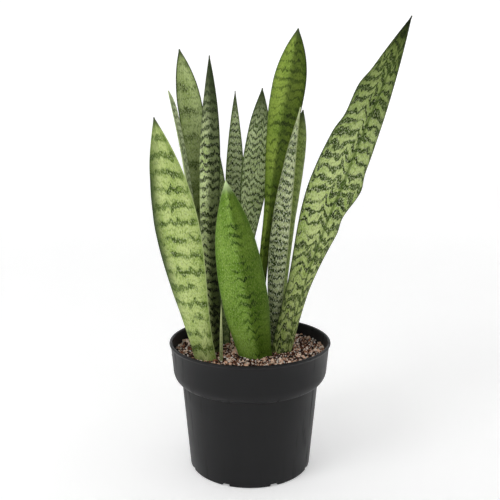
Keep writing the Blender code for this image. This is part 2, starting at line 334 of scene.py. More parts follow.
# %% [markdown]
# ## How a leaf grows
#
# A snake plant's leaf is one thick blade. It rises from its foot as a deep channel, opens
# as it widens, and closes to a hard point. Its shape follows a rule, so one Geometry
# Nodes tree makes all thirteen: a Bezier spine gives the bow, a loop swept along it gives
# a closed skin, and every point of that skin is then put where the leaf's width, cup,
# turn and thickness say. The spine's handles are a third and two thirds of the way up, so
# height tells how far along the blade a point is.
#
# The tree also writes down, for the finish, where each point is on the flat blade: its
# millimetres across, from the foot and to the tip, and how far it is from the margin.

# %% The leaf tree: its inputs and its spine
SPINE_ROWS = 110        # rings along a blade
LOOP_POINTS = 56        # points round it
FOOT_SWELL = 1.5        # how much thicker a leaf is at its foot
LEVEL_FOOT = 0.15       # share of the length over which a level foot turns square
CUP_LENGTH = 0.45       # share of the length over which the channel opens
KINK_REACH = 0.10       # share of the length above and below a kink that it bends
FOLD_REACH = 0.30       # share of the half width beside a fold that it pushes in
LEAST_HALF_WIDTH = 0.5 * MM
WAVE_LENGTH = 48 * MM   # from wave to wave up a margin
THIN_FROM, TIP_THICKNESS = 0.6, 0.4     # where a blade starts to thin, and to what share

leaf_tree = bpy.data.node_groups.new("sword leaf", 'GeometryNodeTree')
for name, kind in (("Foot", 'Vector'), ("Lower handle", 'Vector'), ("Upper handle", 'Vector'),
                   ("Tip", 'Vector'), ("Half width", 'Float'), ("Foot share", 'Float'),
                   ("Neck", 'Float'), ("Widest", 'Float'), ("Tip power", 'Float'),
                   ("Face", 'Float'), ("Turn", 'Float'), ("Foot cup", 'Float'),
                   ("Blade cup", 'Float'), ("Thickness", 'Float'), ("Wave", 'Float'),
                   ("Fold depth", 'Float'), ("Fold place", 'Float'), ("Left kink", 'Float'),
                   ("Left kink place", 'Float'), ("Right kink", 'Float'),
                   ("Right kink place", 'Float'), ("Seed", 'Float'),
                   ("Skin", 'Material')):
    leaf_tree.interface.new_socket(name, in_out='INPUT', socket_type='NodeSocket' + kind)
leaf_tree.interface.new_socket("Leaf", in_out='OUTPUT', socket_type='NodeSocketGeometry')
given = add(leaf_tree, 'NodeGroupInput').outputs

spine = add(leaf_tree, 'GeometryNodeCurvePrimitiveBezierSegment',
            {"Resolution": SPINE_ROWS, "Start": given["Foot"], "End": given["Tip"],
             "Start Handle": given["Lower handle"], "End Handle": given["Upper handle"]})
rows = add(leaf_tree, 'GeometryNodeResampleCurve', [spine], mode='EVALUATED')
position = add(leaf_tree, 'GeometryNodeInputPosition')
heading_now = add(leaf_tree, 'GeometryNodeInputTangent')
loop = add(leaf_tree, 'GeometryNodeCurvePrimitiveCircle',
           {"Resolution": LOOP_POINTS, "Radius": 1.0})

# places are written down on the points, so that they last when the shape changes
marked_curves = []
for curve, notes in ((rows, {"spine": position, "heading": heading_now}),
                     (loop, {"loop": position})):
    node = leaf_tree.nodes.new('GeometryNodeCaptureAttribute')
    for name in notes:
        node.capture_items.new('VECTOR', name)
    for k, source in enumerate((curve, *notes.values())):
        leaf_tree.links.new(source.outputs[0], node.inputs[k])
    marked_curves.append(node.outputs)
spine_marked, loop_marked = marked_curves
skin = add(leaf_tree, 'GeometryNodeCurveToMesh',
           {"Curve": spine_marked[0], "Profile Curve": loop_marked[0], "Fill Caps": True})
print("the spine has", SPINE_ROWS + 1, "rings of", LOOP_POINTS, "points")

# %% [markdown]
# A point of the skin starts as a place on the spine and a place on the loop. Its height
# says how far up the leaf it is, which gives the blade's half width and cup there. The
# loop says how far across the blade it is. Bending the flat blade into an arc of that
# width and cup gives two distances, sideways and inwards, along directions that start
# level at the foot and turn square to the spine.

# %% The leaf tree: where each point goes
heights = [add(leaf_tree, 'ShaderNodeSeparateXYZ', [place]).outputs[2]
           for place in (spine_marked[1], given["Foot"], given["Tip"])]
along = add(leaf_tree, 'ShaderNodeMapRange', [*heights, 0.0, 1.0])
loop_parts = add(leaf_tree, 'ShaderNodeSeparateXYZ', [loop_marked[1]]).outputs
across, side_of = loop_parts[0], loop_parts[1]      # -1 to 1 over the blade; which face

# the direction that the channel faces, which may turn a little up the leaf
turned_by = add(leaf_tree, 'ShaderNodeMath', [given["Turn"], along, given["Face"]],
                operation='MULTIPLY_ADD')
facing = add(leaf_tree, 'ShaderNodeCombineXYZ',
             [add(leaf_tree, 'ShaderNodeMath', [turned_by], operation='COSINE'),
              add(leaf_tree, 'ShaderNodeMath', [turned_by], operation='SINE'), 0.0])
level = add(leaf_tree, 'ShaderNodeVectorMath', [facing, (0, 0, 1)],
            operation='CROSS_PRODUCT')
square = add(leaf_tree, 'ShaderNodeVectorMath',
             [add(leaf_tree, 'ShaderNodeVectorMath', [facing, spine_marked[2]],
                  operation='CROSS_PRODUCT')], operation='NORMALIZE')
upright = add(leaf_tree, 'ShaderNodeVectorMath', [spine_marked[2], square],
              operation='CROSS_PRODUCT')
off_ground = add(leaf_tree, 'ShaderNodeMapRange', [along, 0.0, LEVEL_FOOT, 0.0, 1.0],
                 interpolation_type='SMOOTHSTEP')
sideways, inward = (
    add(leaf_tree, 'ShaderNodeVectorMath',
        [add(leaf_tree, 'ShaderNodeMix', [off_ground, at_foot, above], data_type='VECTOR')],
        operation='NORMALIZE')
    for at_foot, above in ((level, square), (facing, upright)))

# half width: a waist at the foot, the widest place, and a taper to the point
swell = add(leaf_tree, 'ShaderNodeMapRange',
            [along, given["Neck"], given["Widest"], given["Foot share"], 1.0],
            interpolation_type='SMOOTHSTEP')
to_tip = add(leaf_tree, 'ShaderNodeMapRange', [along, given["Widest"], 1.0, 0.0, 1.0])
taper = add(leaf_tree, 'ShaderNodeMath', [to_tip, given["Tip power"]], operation='POWER')
narrowed = add(leaf_tree, 'ShaderNodeMath', [1.0, taper], operation='SUBTRACT')
share = add(leaf_tree, 'ShaderNodeMath', [swell, narrowed], operation='MULTIPLY')
half = add(leaf_tree, 'ShaderNodeMath',
           [add(leaf_tree, 'ShaderNodeMath', [share, given["Half width"]],
                operation='MULTIPLY'), LEAST_HALF_WIDTH], operation='MAXIMUM')

# the channel's arc: how far round it a point is, and the arc's radius
cup = add(leaf_tree, 'ShaderNodeMapRange',
          [along, 0.0, CUP_LENGTH, given["Foot cup"], given["Blade cup"]],
          interpolation_type='SMOOTHSTEP')
round_it = add(leaf_tree, 'ShaderNodeMath', [cup, across], operation='MULTIPLY')
radius = add(leaf_tree, 'ShaderNodeMath', [half, cup], operation='DIVIDE')
sine = add(leaf_tree, 'ShaderNodeMath', [round_it], operation='SINE')
cosine = add(leaf_tree, 'ShaderNodeMath', [round_it], operation='COSINE')
off_side = add(leaf_tree, 'ShaderNodeMath', [radius, sine], operation='MULTIPLY')

# an old hurt leaves a kink in a margin: in at the hurt, and out above it
for margin_side, kink_name in ((-1.0, "Left kink"), (1.0, "Right kink")):
    from_kink = add(leaf_tree, 'ShaderNodeMath', [along, given[kink_name + " place"]],
                    operation='SUBTRACT')
    kink_swing = add(leaf_tree, 'ShaderNodeMath',
                     [add(leaf_tree, 'ShaderNodeMath', [from_kink, math.pi / KINK_REACH],
                          operation='MULTIPLY')], operation='SINE')
    kink_near = add(leaf_tree, 'ShaderNodeMapRange',
                    [add(leaf_tree, 'ShaderNodeMath', [from_kink], operation='ABSOLUTE'),
                     0.4 * KINK_REACH, KINK_REACH, given[kink_name], 0.0],
                    interpolation_type='SMOOTHSTEP')
    outward = add(leaf_tree, 'ShaderNodeMapRange',
                  [across, 0.1 * margin_side, margin_side, 0.0, margin_side])
    kink = add(leaf_tree, 'ShaderNodeMath', [kink_swing, kink_near], operation='MULTIPLY')
    off_side = add(leaf_tree, 'ShaderNodeMath', [kink, outward, off_side],
                   operation='MULTIPLY_ADD')
off_in = add(leaf_tree, 'ShaderNodeMath',
             [radius, add(leaf_tree, 'ShaderNodeMath', [1.0, cosine], operation='SUBTRACT')],
             operation='MULTIPLY')
print("so far the leaf tree has", len(leaf_tree.nodes), "nodes")

# %% [markdown]
# Now the two faces part. A leaf is a lens in section, thick along the middle and thin at
# its margins, with a swollen foot and a thin tip. Waves and a crease move both faces the
# same way. Everything is added up as one lift, square to the arc.

# %% The leaf tree: thickness, waves and the marks for the finish
foot_swell = add(leaf_tree, 'ShaderNodeMapRange',
                 [along, 0.0, CUP_LENGTH, 1.0, 1 / FOOT_SWELL],
                 interpolation_type='SMOOTHSTEP')
thin_tip = add(leaf_tree, 'ShaderNodeMapRange', [along, THIN_FROM, 1.0, 1.0, TIP_THICKNESS],
               interpolation_type='SMOOTHSTEP')
thickness = add(leaf_tree, 'ShaderNodeMath', [foot_swell, thin_tip], operation='MULTIPLY')
half_wall = add(leaf_tree, 'ShaderNodeMath',
                [add(leaf_tree, 'ShaderNodeMath', [thickness, given["Thickness"]],
                     operation='MULTIPLY'), 0.5], operation='MULTIPLY')
lens = add(leaf_tree, 'ShaderNodeMath', [half_wall, side_of], operation='MULTIPLY')

# a living blade is never true: its margins wave in and out a millimetre or so
wave_place = add(leaf_tree, 'ShaderNodeCombineXYZ', [
    add(leaf_tree, 'ShaderNodeMath', [across, 0.6], operation='MULTIPLY'), 0.0,
    add(leaf_tree, 'ShaderNodeMath', [heights[0], 1 / WAVE_LENGTH], operation='MULTIPLY')])
wave_noise = add(leaf_tree, 'ShaderNodeTexNoise',
                 {"Vector": wave_place, "W": given["Seed"], "Scale": 1.0, "Detail": 1.0},
                 noise_dimensions='4D')
wave_signed = add(leaf_tree, 'ShaderNodeMapRange', [wave_noise, 0.0, 1.0, -1.0, 1.0])
edge_share = add(leaf_tree, 'ShaderNodeMath', [across, across, 0.25],
                 operation='MULTIPLY_ADD')
tip_calm = add(leaf_tree, 'ShaderNodeMath', [edge_share, share], operation='MULTIPLY')
wave = add(leaf_tree, 'ShaderNodeMath',
           [add(leaf_tree, 'ShaderNodeMath', [wave_signed, tip_calm], operation='MULTIPLY'),
            given["Wave"]], operation='MULTIPLY')

# a fold is a crease along the blade: both faces are pushed in beside its line
from_fold = add(leaf_tree, 'ShaderNodeMath', [across, given["Fold place"]],
                operation='SUBTRACT')
fold_shape = add(leaf_tree, 'ShaderNodeMapRange',
                 [add(leaf_tree, 'ShaderNodeMath', [from_fold], operation='ABSOLUTE'),
                  0.0, FOLD_REACH, 1.0, 0.0], interpolation_type='SMOOTHSTEP')
fold_reach = add(leaf_tree, 'ShaderNodeMapRange', [along, 0.10, 0.35, 0.0, 1.0],
                 interpolation_type='SMOOTHSTEP')
fold = add(leaf_tree, 'ShaderNodeMath',
           [add(leaf_tree, 'ShaderNodeMath', [fold_shape, fold_reach],
                operation='MULTIPLY'), given["Fold depth"]], operation='MULTIPLY')
fold = add(leaf_tree, 'ShaderNodeMath', [fold, share], operation='MULTIPLY')
lift = add(leaf_tree, 'ShaderNodeMath',
           [add(leaf_tree, 'ShaderNodeMath', [lens, wave], operation='ADD'), fold],
           operation='ADD')

# sideways and inward parts of that lift, which is square to the arc
lift_side = add(leaf_tree, 'ShaderNodeMath', [lift, sine], operation='MULTIPLY')
lift_in = add(leaf_tree, 'ShaderNodeMath', [lift, cosine], operation='MULTIPLY')
total_side = add(leaf_tree, 'ShaderNodeMath', [off_side, lift_side], operation='SUBTRACT')
total_in = add(leaf_tree, 'ShaderNodeMath', [off_in, lift_in], operation='ADD')
moved = spine_marked[1]
for direction, amount in ((sideways, total_side), (inward, total_in)):
    step = add(leaf_tree, 'ShaderNodeVectorMath', {0: direction, "Scale": amount},
               operation='SCALE')
    moved = add(leaf_tree, 'ShaderNodeVectorMath', [moved, step], operation='ADD')
shaped = add(leaf_tree, 'GeometryNodeSetPosition', {"Geometry": skin, "Position": moved})

length = add(leaf_tree, 'ShaderNodeVectorMath', [given["Foot"], given["Tip"]],
             operation='DISTANCE').outputs["Value"]
length_mm = add(leaf_tree, 'ShaderNodeMath', [length, 1 / MM], operation='MULTIPLY')
across_mm = add(leaf_tree, 'ShaderNodeMath',
                [add(leaf_tree, 'ShaderNodeMath', [across, given["Half width"]],
                     operation='MULTIPLY'), 1 / MM], operation='MULTIPLY')
from_foot = add(leaf_tree, 'ShaderNodeMath', [along, length_mm], operation='MULTIPLY')
from_tip = add(leaf_tree, 'ShaderNodeMath', [length_mm, from_foot], operation='SUBTRACT')
blade_mm = add(leaf_tree, 'ShaderNodeCombineXYZ', [across_mm, from_foot, from_tip])
inner_share = add(leaf_tree, 'ShaderNodeMath',
                  [1.0, add(leaf_tree, 'ShaderNodeMath', [across], operation='ABSOLUTE')],
                  operation='SUBTRACT')
margin_mm = add(leaf_tree, 'ShaderNodeMath',
                [add(leaf_tree, 'ShaderNodeMath', [inner_share, half],
                     operation='MULTIPLY'), 1 / MM], operation='MULTIPLY')
marked = add(leaf_tree, 'GeometryNodeStoreNamedAttribute',
             {"Geometry": shaped, "Name": "blade_mm", "Value": blade_mm},
             data_type='FLOAT_VECTOR')
marked = add(leaf_tree, 'GeometryNodeStoreNamedAttribute',
             {"Geometry": marked, "Name": "margin_mm", "Value": margin_mm},
             data_type='FLOAT')
real = add(leaf_tree, 'GeometryNodeRealizeInstances', [marked])
dressed = add(leaf_tree, 'GeometryNodeSetMaterial',
              {"Geometry": real, "Material": given["Skin"]})
add(leaf_tree, 'NodeGroupOutput', [dressed])
print("the leaf tree has", len(leaf_tree.nodes), "nodes")

# %% [markdown]
# ## The leaf's skin
#
# Under a waxy cuticle, a snake plant's leaf is pale green crossed by dark green bands.
# The bands aren't painted straight: the blade grows from long fibres that slide past each
# other, so each band wanders in scallops a few millimetres high, and its edges break up
# into short strokes that all run lengthwise. Between them lie flecks and thin part-bands.
# The margin is a fine line of its own colour, and the hard tip is dark.
#
# Every leaf has the same rule with other numbers, so the pattern is one node group, with
# its sizes in millimetres on the flat blade, and each leaf's material holds one of them.

# %% The skin's inputs
SKIN_INPUTS = {
    # colours: between the bands, clouds in it, the bands, their edges, the margin, the tip
    "Light": "A9BC78", "Cloud": "8FA65C", "Dark": "43561C", "Margin": "B9C384",
    "Tip": "3A4527", "Deep": "2C3C12", "Pale": "C8D2A8",
    # what the foot, the top and one side of the midline are multiplied by;
    # the foot's and the side's are painted shade
    "Foot tint": "C8C8C8", "Top tint": "FFFFFF", "Side tint": "B4B4B4",
    "Spacing": 13.0,        # mm from band to band
    "Cut": 0.15,            # how little of the blade the bands cover
    "Soft": 0.4,            # how blurred a band's edge is
    "Strength": 0.85,       # how dark a band gets
    "Thin bands": 0.5,      # how dark the thin part-bands between get
    "Arch": 2.0,            # mm that a band droops 20 mm out from the midline
    "Wander": 2.5,          # mm that a band drifts up and down
    "Zigzag": 3.5, "Zigzag width": 7.0,     # mm high and wide, of each tooth
    "Jitter": 0.9,          # mm that single fibres slide
    "Blotch": 0.55,         # how much blotches widen and narrow a band
    "Break": 0.22,          # how much short strokes break a band up
    "Outline": 0.7,         # how dark a band's edge is
    "Dark flecks": 0.6, "Light flecks": 0.55,
    "Column place": 0.0, "Column width": 5.0, "Column strength": 0.0,
    "Margin width": 1.6,    # mm
    # painted shade along the sides, where the blade turns away
    "Rim": 0.4, "Rim width": 6.0,           # how much deeper the sides are, and mm in
    # a strip of painted shade beside part of one margin
    "Strip side": 0.0, "Strip width": 2.5, "Strip middle": 130.0, "Strip reach": 90.0,
    "Tip reach": 14.0,      # mm
    "Foot reach": 110.0, "Top reach": 140.0,    # mm
    # painted shade over one side of the midline, and along a fold's line
    "Side": 0.0,            # -1 or 1 for the side of the midline that is tinted
    "Fold line": 99.0,      # mm across at which a fold's dark line runs
    "Fold strength": 0.0,
    "Seed": 0.0,
}
skin_tree = bpy.data.node_groups.new("waxy crossbanded skin", 'ShaderNodeTree')
for name, value in SKIN_INPUTS.items():
    kind = 'NodeSocketColor' if isinstance(value, str) else 'NodeSocketFloat'
    skin_tree.interface.new_socket(name, in_out='INPUT', socket_type=kind)
for name, kind in (("Colour", 'Color'), ("Roughness", 'Float'), ("Height", 'Float')):
    skin_tree.interface.new_socket(name, in_out='OUTPUT', socket_type='NodeSocket' + kind)
given = add(skin_tree, 'NodeGroupInput').outputs
blade = add(skin_tree, 'ShaderNodeAttribute', attribute_name="blade_mm").outputs["Vector"]
margin = add(skin_tree, 'ShaderNodeAttribute', attribute_name="margin_mm").outputs["Fac"]
x_mm, y_mm, tip_mm = add(skin_tree, 'ShaderNodeSeparateXYZ', [blade]).outputs
print("a skin has", len(SKIN_INPUTS), "inputs")

# %% [markdown]
# Nothing on a leaf is even, and most of its unevenness runs lengthwise, as its fibres do.
# So the pattern starts with nine noises, drawn out by different amounts: broad ones that
# move whole bands, and fine ones for single fibres, strokes and flecks.

# %% Grains that run along the fibres
GRAINS = (      # name, mm across the leaf, mm along it, detail
    ("scallop", 8, 60, 1), ("fibre", 1.1, 22, 0), ("drift", 60, 24, 1),
    ("patch", 16, 34, 2), ("blotch", 7, 8, 2), ("stroke", 1.3, 5.0, 1),
    ("fleck", 1.4, 3.6, 1), ("speck", 1.0, 2.2, 1), ("thread", 0.7, 60, 1))
SWINGING = ("scallop", "fibre", "drift", "blotch", "stroke")    # these push both ways
grains = {}
for name, wide, tall, detail in GRAINS:
    stretched = add(skin_tree, 'ShaderNodeVectorMath', [blade, (1 / wide, 1 / tall, 0)],
                    operation='MULTIPLY')
    grains[name] = add(skin_tree, 'ShaderNodeTexNoise',
                       {"Vector": stretched, "W": given["Seed"], "Scale": 1.0,
                        "Detail": float(detail)}, noise_dimensions='4D')
swings = {name: add(skin_tree, 'ShaderNodeMapRange', [grains[name], 0.2, 0.8, -1.0, 1.0])
          for name in SWINGING}
print("grains:", ", ".join(grains))

# %% [markdown]
# A band is a wave along the leaf, kept where it is high. Each fibre reads that wave at a
# height of its own, because it has been pushed up or down by the band's arch, its drift,
# its teeth and the fibre's slip. Blotches and strokes then raise and lower the wave, so
# that bands swell, thin out and break, with a darker line where they end.

# %% The crossbands
THIN_PER_BAND = 2.7     # thin part-bands to each band

# a fibre's own height in the pattern: arched, drifting, toothed and slipped
tooth_place = add(skin_tree, 'ShaderNodeMath', [x_mm, given["Zigzag width"]],
                  operation='DIVIDE')
tooth_drift = add(skin_tree, 'ShaderNodeMath', [grains["patch"], 5.0, tooth_place],
                  operation='MULTIPLY_ADD')
tooth = add(skin_tree, 'ShaderNodeMath', [tooth_drift, 1.0], operation='PINGPONG')
tooth = add(skin_tree, 'ShaderNodeMath', [tooth, 0.5], operation='SUBTRACT')
tooth_size = add(skin_tree, 'ShaderNodeMapRange', [grains["blotch"], 0.3, 0.7, 0.2, 1.8])
tooth = add(skin_tree, 'ShaderNodeMath', [tooth, tooth_size], operation='MULTIPLY')
out = add(skin_tree, 'ShaderNodeMath', [x_mm, 0.05], operation='MULTIPLY')
arch = add(skin_tree, 'ShaderNodeMath', [out, out], operation='MULTIPLY')
slid = y_mm
for swing, amount in ((arch, given["Arch"]), (swings["scallop"], given["Wander"]),
                      (tooth, given["Zigzag"]), (swings["fibre"], given["Jitter"])):
    slid = add(skin_tree, 'ShaderNodeMath', [swing, amount, slid],
               operation='MULTIPLY_ADD')
turns = add(skin_tree, 'ShaderNodeMath', [slid, given["Spacing"]], operation='DIVIDE')
cycle = add(skin_tree, 'ShaderNodeMath',
            [add(skin_tree, 'ShaderNodeMath', [turns, 2 * math.pi], operation='MULTIPLY')],
            operation='SINE')
cycle_drift = add(skin_tree, 'ShaderNodeMath', [swings["drift"], 0.7],
                  operation='MULTIPLY')
field = add(skin_tree, 'ShaderNodeMath', [cycle, 0.62, cycle_drift],
            operation='MULTIPLY_ADD')
for swing, amount in ((swings["blotch"], given["Blotch"]),
                      (swings["stroke"], given["Break"])):
    field = add(skin_tree, 'ShaderNodeMath', [swing, amount, field],
                operation='MULTIPLY_ADD')
low_edge, high_edge = (
    add(skin_tree, 'ShaderNodeMath', [given["Cut"], given["Soft"]], operation=kind)
    for kind in ('SUBTRACT', 'ADD'))
band = add(skin_tree, 'ShaderNodeMapRange', [field, low_edge, high_edge, 0.0, 1.0],
           interpolation_type='SMOOTHSTEP')

# a band is darkest just inside its ragged edge
edge_off = add(skin_tree, 'ShaderNodeMath',
               [add(skin_tree, 'ShaderNodeMath', [field, high_edge],
                    operation='SUBTRACT')], operation='ABSOLUTE')
outline = add(skin_tree, 'ShaderNodeMapRange', [edge_off, 0.08, 0.42, 1.0, 0.0],
              interpolation_type='SMOOTHSTEP')

# thin part-bands that come and go
thin_drift = add(skin_tree, 'ShaderNodeMath', [swings["drift"], 3.0], operation='MULTIPLY')
thin_phase = add(skin_tree, 'ShaderNodeMath',
                 [turns, THIN_PER_BAND * 2 * math.pi, thin_drift],
                 operation='MULTIPLY_ADD')
thin_wave = add(skin_tree, 'ShaderNodeMath', [thin_phase], operation='SINE')
thin_field = add(skin_tree, 'ShaderNodeMath', [swings["stroke"], 0.6, thin_wave],
                 operation='MULTIPLY_ADD')
thin = add(skin_tree, 'ShaderNodeMapRange', [thin_field, 0.6, 1.1, 0.0, 1.0],
           interpolation_type='SMOOTHSTEP')

# how far a point is from a column, a fold's painted shade and a painted shade strip's middle
off = {}
for line, place in (("Column place", x_mm), ("Fold line", x_mm), ("Strip middle", y_mm)):
    past = add(skin_tree, 'ShaderNodeMath', [place, given[line]], operation='SUBTRACT')
    off[line] = add(skin_tree, 'ShaderNodeMath', [past], operation='ABSOLUTE')

# a column of stronger marks may run up the blade
column = add(skin_tree, 'ShaderNodeMapRange',
             [off["Column place"], 0.0, given["Column width"], given["Column strength"], 0.0],
             interpolation_type='SMOOTHSTEP')
strength = add(skin_tree, 'ShaderNodeMath', [column, given["Strength"]], operation='ADD',
               use_clamp=True)
for part in (strength, add(skin_tree, 'ShaderNodeMapRange',
                           [grains["patch"], 0.38, 0.62, 0.35, 1.1])):
    outline = add(skin_tree, 'ShaderNodeMath', [outline, part], operation='MULTIPLY')
print("the pattern so far has", len(skin_tree.nodes), "nodes")

# %% [markdown]
# The colours go on in layers, as washes would: the pale ground and its clouds, the bands
# and their edges, flecks, then painted shade along the sides and in a fold, painted shade
# over the foot and one half, a multiplier for the top, and last the margin, a strip of
# painted shade and the tip.

# %% The skin's colours
patch = add(skin_tree, 'ShaderNodeMapRange', [grains["patch"], 0.35, 0.65, 0.0, 1.0])
tint = add(skin_tree, 'ShaderNodeMix', [patch, given["Light"], given["Cloud"]],
           data_type='RGBA')
light_mask = add(skin_tree, 'ShaderNodeMapRange', [grains["speck"], 0.52, 0.62, 0.0, 1.0])
dark_mask = add(skin_tree, 'ShaderNodeMapRange', [grains["fleck"], 0.52, 0.62, 0.0, 1.0])
for mask, amount, shade in ((thin, given["Thin bands"], "Dark"),
                            (band, strength, "Dark"),
                            (outline, given["Outline"], "Deep"),
                            (dark_mask, given["Dark flecks"], "Deep"),
                            (light_mask, given["Light flecks"], "Pale")):
    part = add(skin_tree, 'ShaderNodeMath', [mask, amount], operation='MULTIPLY')
    tint = add(skin_tree, 'ShaderNodeMix', [part, tint, given[shade]], data_type='RGBA')

# painted shade along the sides, where the blade turns away, and in a fold's crease
rim_shade_mask = add(skin_tree, 'ShaderNodeMapRange', [margin, 0.0, given["Rim width"], 1.0, 0.0],
               interpolation_type='SMOOTHSTEP')
rim_shade_part = add(skin_tree, 'ShaderNodeMath', [rim_shade_mask, given["Rim"]], operation='MULTIPLY')
tint = add(skin_tree, 'ShaderNodeMix', [rim_shade_part, tint, given["Dark"]], data_type='RGBA')
fold_shade_mask = add(skin_tree, 'ShaderNodeMapRange', [off["Fold line"], 0.2, 2.6, 1.0, 0.0],
                interpolation_type='SMOOTHSTEP')
fold_shade_part = add(skin_tree, 'ShaderNodeMath', [fold_shade_mask, given["Fold strength"]],
                operation='MULTIPLY')
tint = add(skin_tree, 'ShaderNodeMix', [fold_shade_part, tint, given["Dark"]], data_type='RGBA')

# painted shade over one side of the midline and over the foot; the top is multiplied too
side_place = add(skin_tree, 'ShaderNodeMath', [x_mm, given["Side"]], operation='MULTIPLY')
side_shade_mask = add(skin_tree, 'ShaderNodeMapRange', [side_place, -2.5, 4.5, 0.0, 1.0],
                interpolation_type='SMOOTHSTEP')
side_shade_part = add(skin_tree, 'ShaderNodeMath',
                [side_shade_mask, add(skin_tree, 'ShaderNodeMath', [given["Side"]],
                                operation='ABSOLUTE')], operation='MULTIPLY')
foot_shade_mask = add(skin_tree, 'ShaderNodeMapRange', [y_mm, 15.0, given["Foot reach"], 1.0, 0.0],
                interpolation_type='SMOOTHSTEP')
top_mask = add(skin_tree, 'ShaderNodeMapRange', [tip_mm, 10.0, given["Top reach"], 1.0, 0.0],
               interpolation_type='SMOOTHSTEP')
for mask, shade in ((side_shade_part, "Side tint"), (foot_shade_mask, "Foot tint"),
                    (top_mask, "Top tint")):
    tint = add(skin_tree, 'ShaderNodeMix', [mask, tint, given[shade]], data_type='RGBA',
               blend_type='MULTIPLY')

# the margin's line, a wider strip of painted shade beside part of one margin, and the tip
margin_mask = add(skin_tree, 'ShaderNodeMapRange',
                  [margin, 0.15, given["Margin width"], 1.0, 0.0],
                  interpolation_type='SMOOTHSTEP')
strip_edge = add(skin_tree, 'ShaderNodeMapRange',
                 [add(skin_tree, 'ShaderNodeMath', [swings["stroke"], 0.5, margin],
                      operation='MULTIPLY_ADD'), 0.4, given["Strip width"], 1.0, 0.0],
                 interpolation_type='SMOOTHSTEP')
strip_ends = add(skin_tree, 'ShaderNodeMapRange',
                 [off["Strip middle"], 0.0, given["Strip reach"], 1.6, 0.0])
strip_ends = add(skin_tree, 'ShaderNodeMath', [strip_ends, 1.0], operation='MINIMUM')
strip_side = add(skin_tree, 'ShaderNodeMath',
                 [add(skin_tree, 'ShaderNodeMath', [x_mm, given["Strip side"]],
                      operation='MULTIPLY')], operation='SIGN')
strip_side = add(skin_tree, 'ShaderNodeMath', [strip_side, 0.0], operation='MAXIMUM')
strip = add(skin_tree, 'ShaderNodeMath',
            [add(skin_tree, 'ShaderNodeMath', [strip_edge, strip_ends],
                 operation='MULTIPLY'), strip_side], operation='MULTIPLY')
tip_edge = add(skin_tree, 'ShaderNodeMath', [swings["fibre"], 3.0, tip_mm],
               operation='MULTIPLY_ADD')
tip_mask = add(skin_tree, 'ShaderNodeMapRange', [tip_edge, 1.0, given["Tip reach"], 1.0, 0.0],
               interpolation_type='SMOOTHSTEP')
for mask, shade in ((margin_mask, "Margin"), (strip, "Deep"), (tip_mask, "Tip")):
    tint = add(skin_tree, 'ShaderNodeMix', [mask, tint, given[shade]], data_type='RGBA')

# wax is a little duller on the pale parts; threads and bands stand up a hair
gloss = add(skin_tree, 'ShaderNodeMapRange', [grains["patch"], 0.3, 0.7, 0.45, 0.6])
height = add(skin_tree, 'ShaderNodeMath', [band, 0.35, grains["thread"]],
             operation='MULTIPLY_ADD')
add(skin_tree, 'NodeGroupOutput', [tint, gloss, height])
print("the skin pattern has", len(skin_tree.nodes), "nodes")


def leaf_skin(name, look):
    """A leaf's material: the pattern with this leaf's own colours and sizes."""
    material, tree, shader = new_material("waxy_leaf_skin_" + name, IOR=1.45,
                                          Specular_IOR_Level=0.1)
    pattern = add(tree, 'ShaderNodeGroup', node_tree=skin_tree)
    for socket, value in {**SKIN_INPUTS, **look}.items():
        pattern.inputs[socket].default_value = colour(value) if isinstance(value, str) else value
    bump = add(tree, 'ShaderNodeBump', {"Height": pattern.outputs["Height"],
                                        "Strength": 0.5, "Distance": 0.12 * MM})
    dress(shader, Base_Color=pattern.outputs["Colour"],
          Roughness=pattern.outputs["Roughness"], Normal=bump)
    return material

# %% [markdown]
# ## Thirteen leaves
#
# The clump has four broad blades in front and behind, and narrower or younger ones
# between them. Each row below is one leaf: where it starts and ends, how its spine bows,
# how wide it is and where, which way its channel faces, and how its skin looks. A leaf's
# foot is just over its buried stem, 98 mm up, as in the frame.

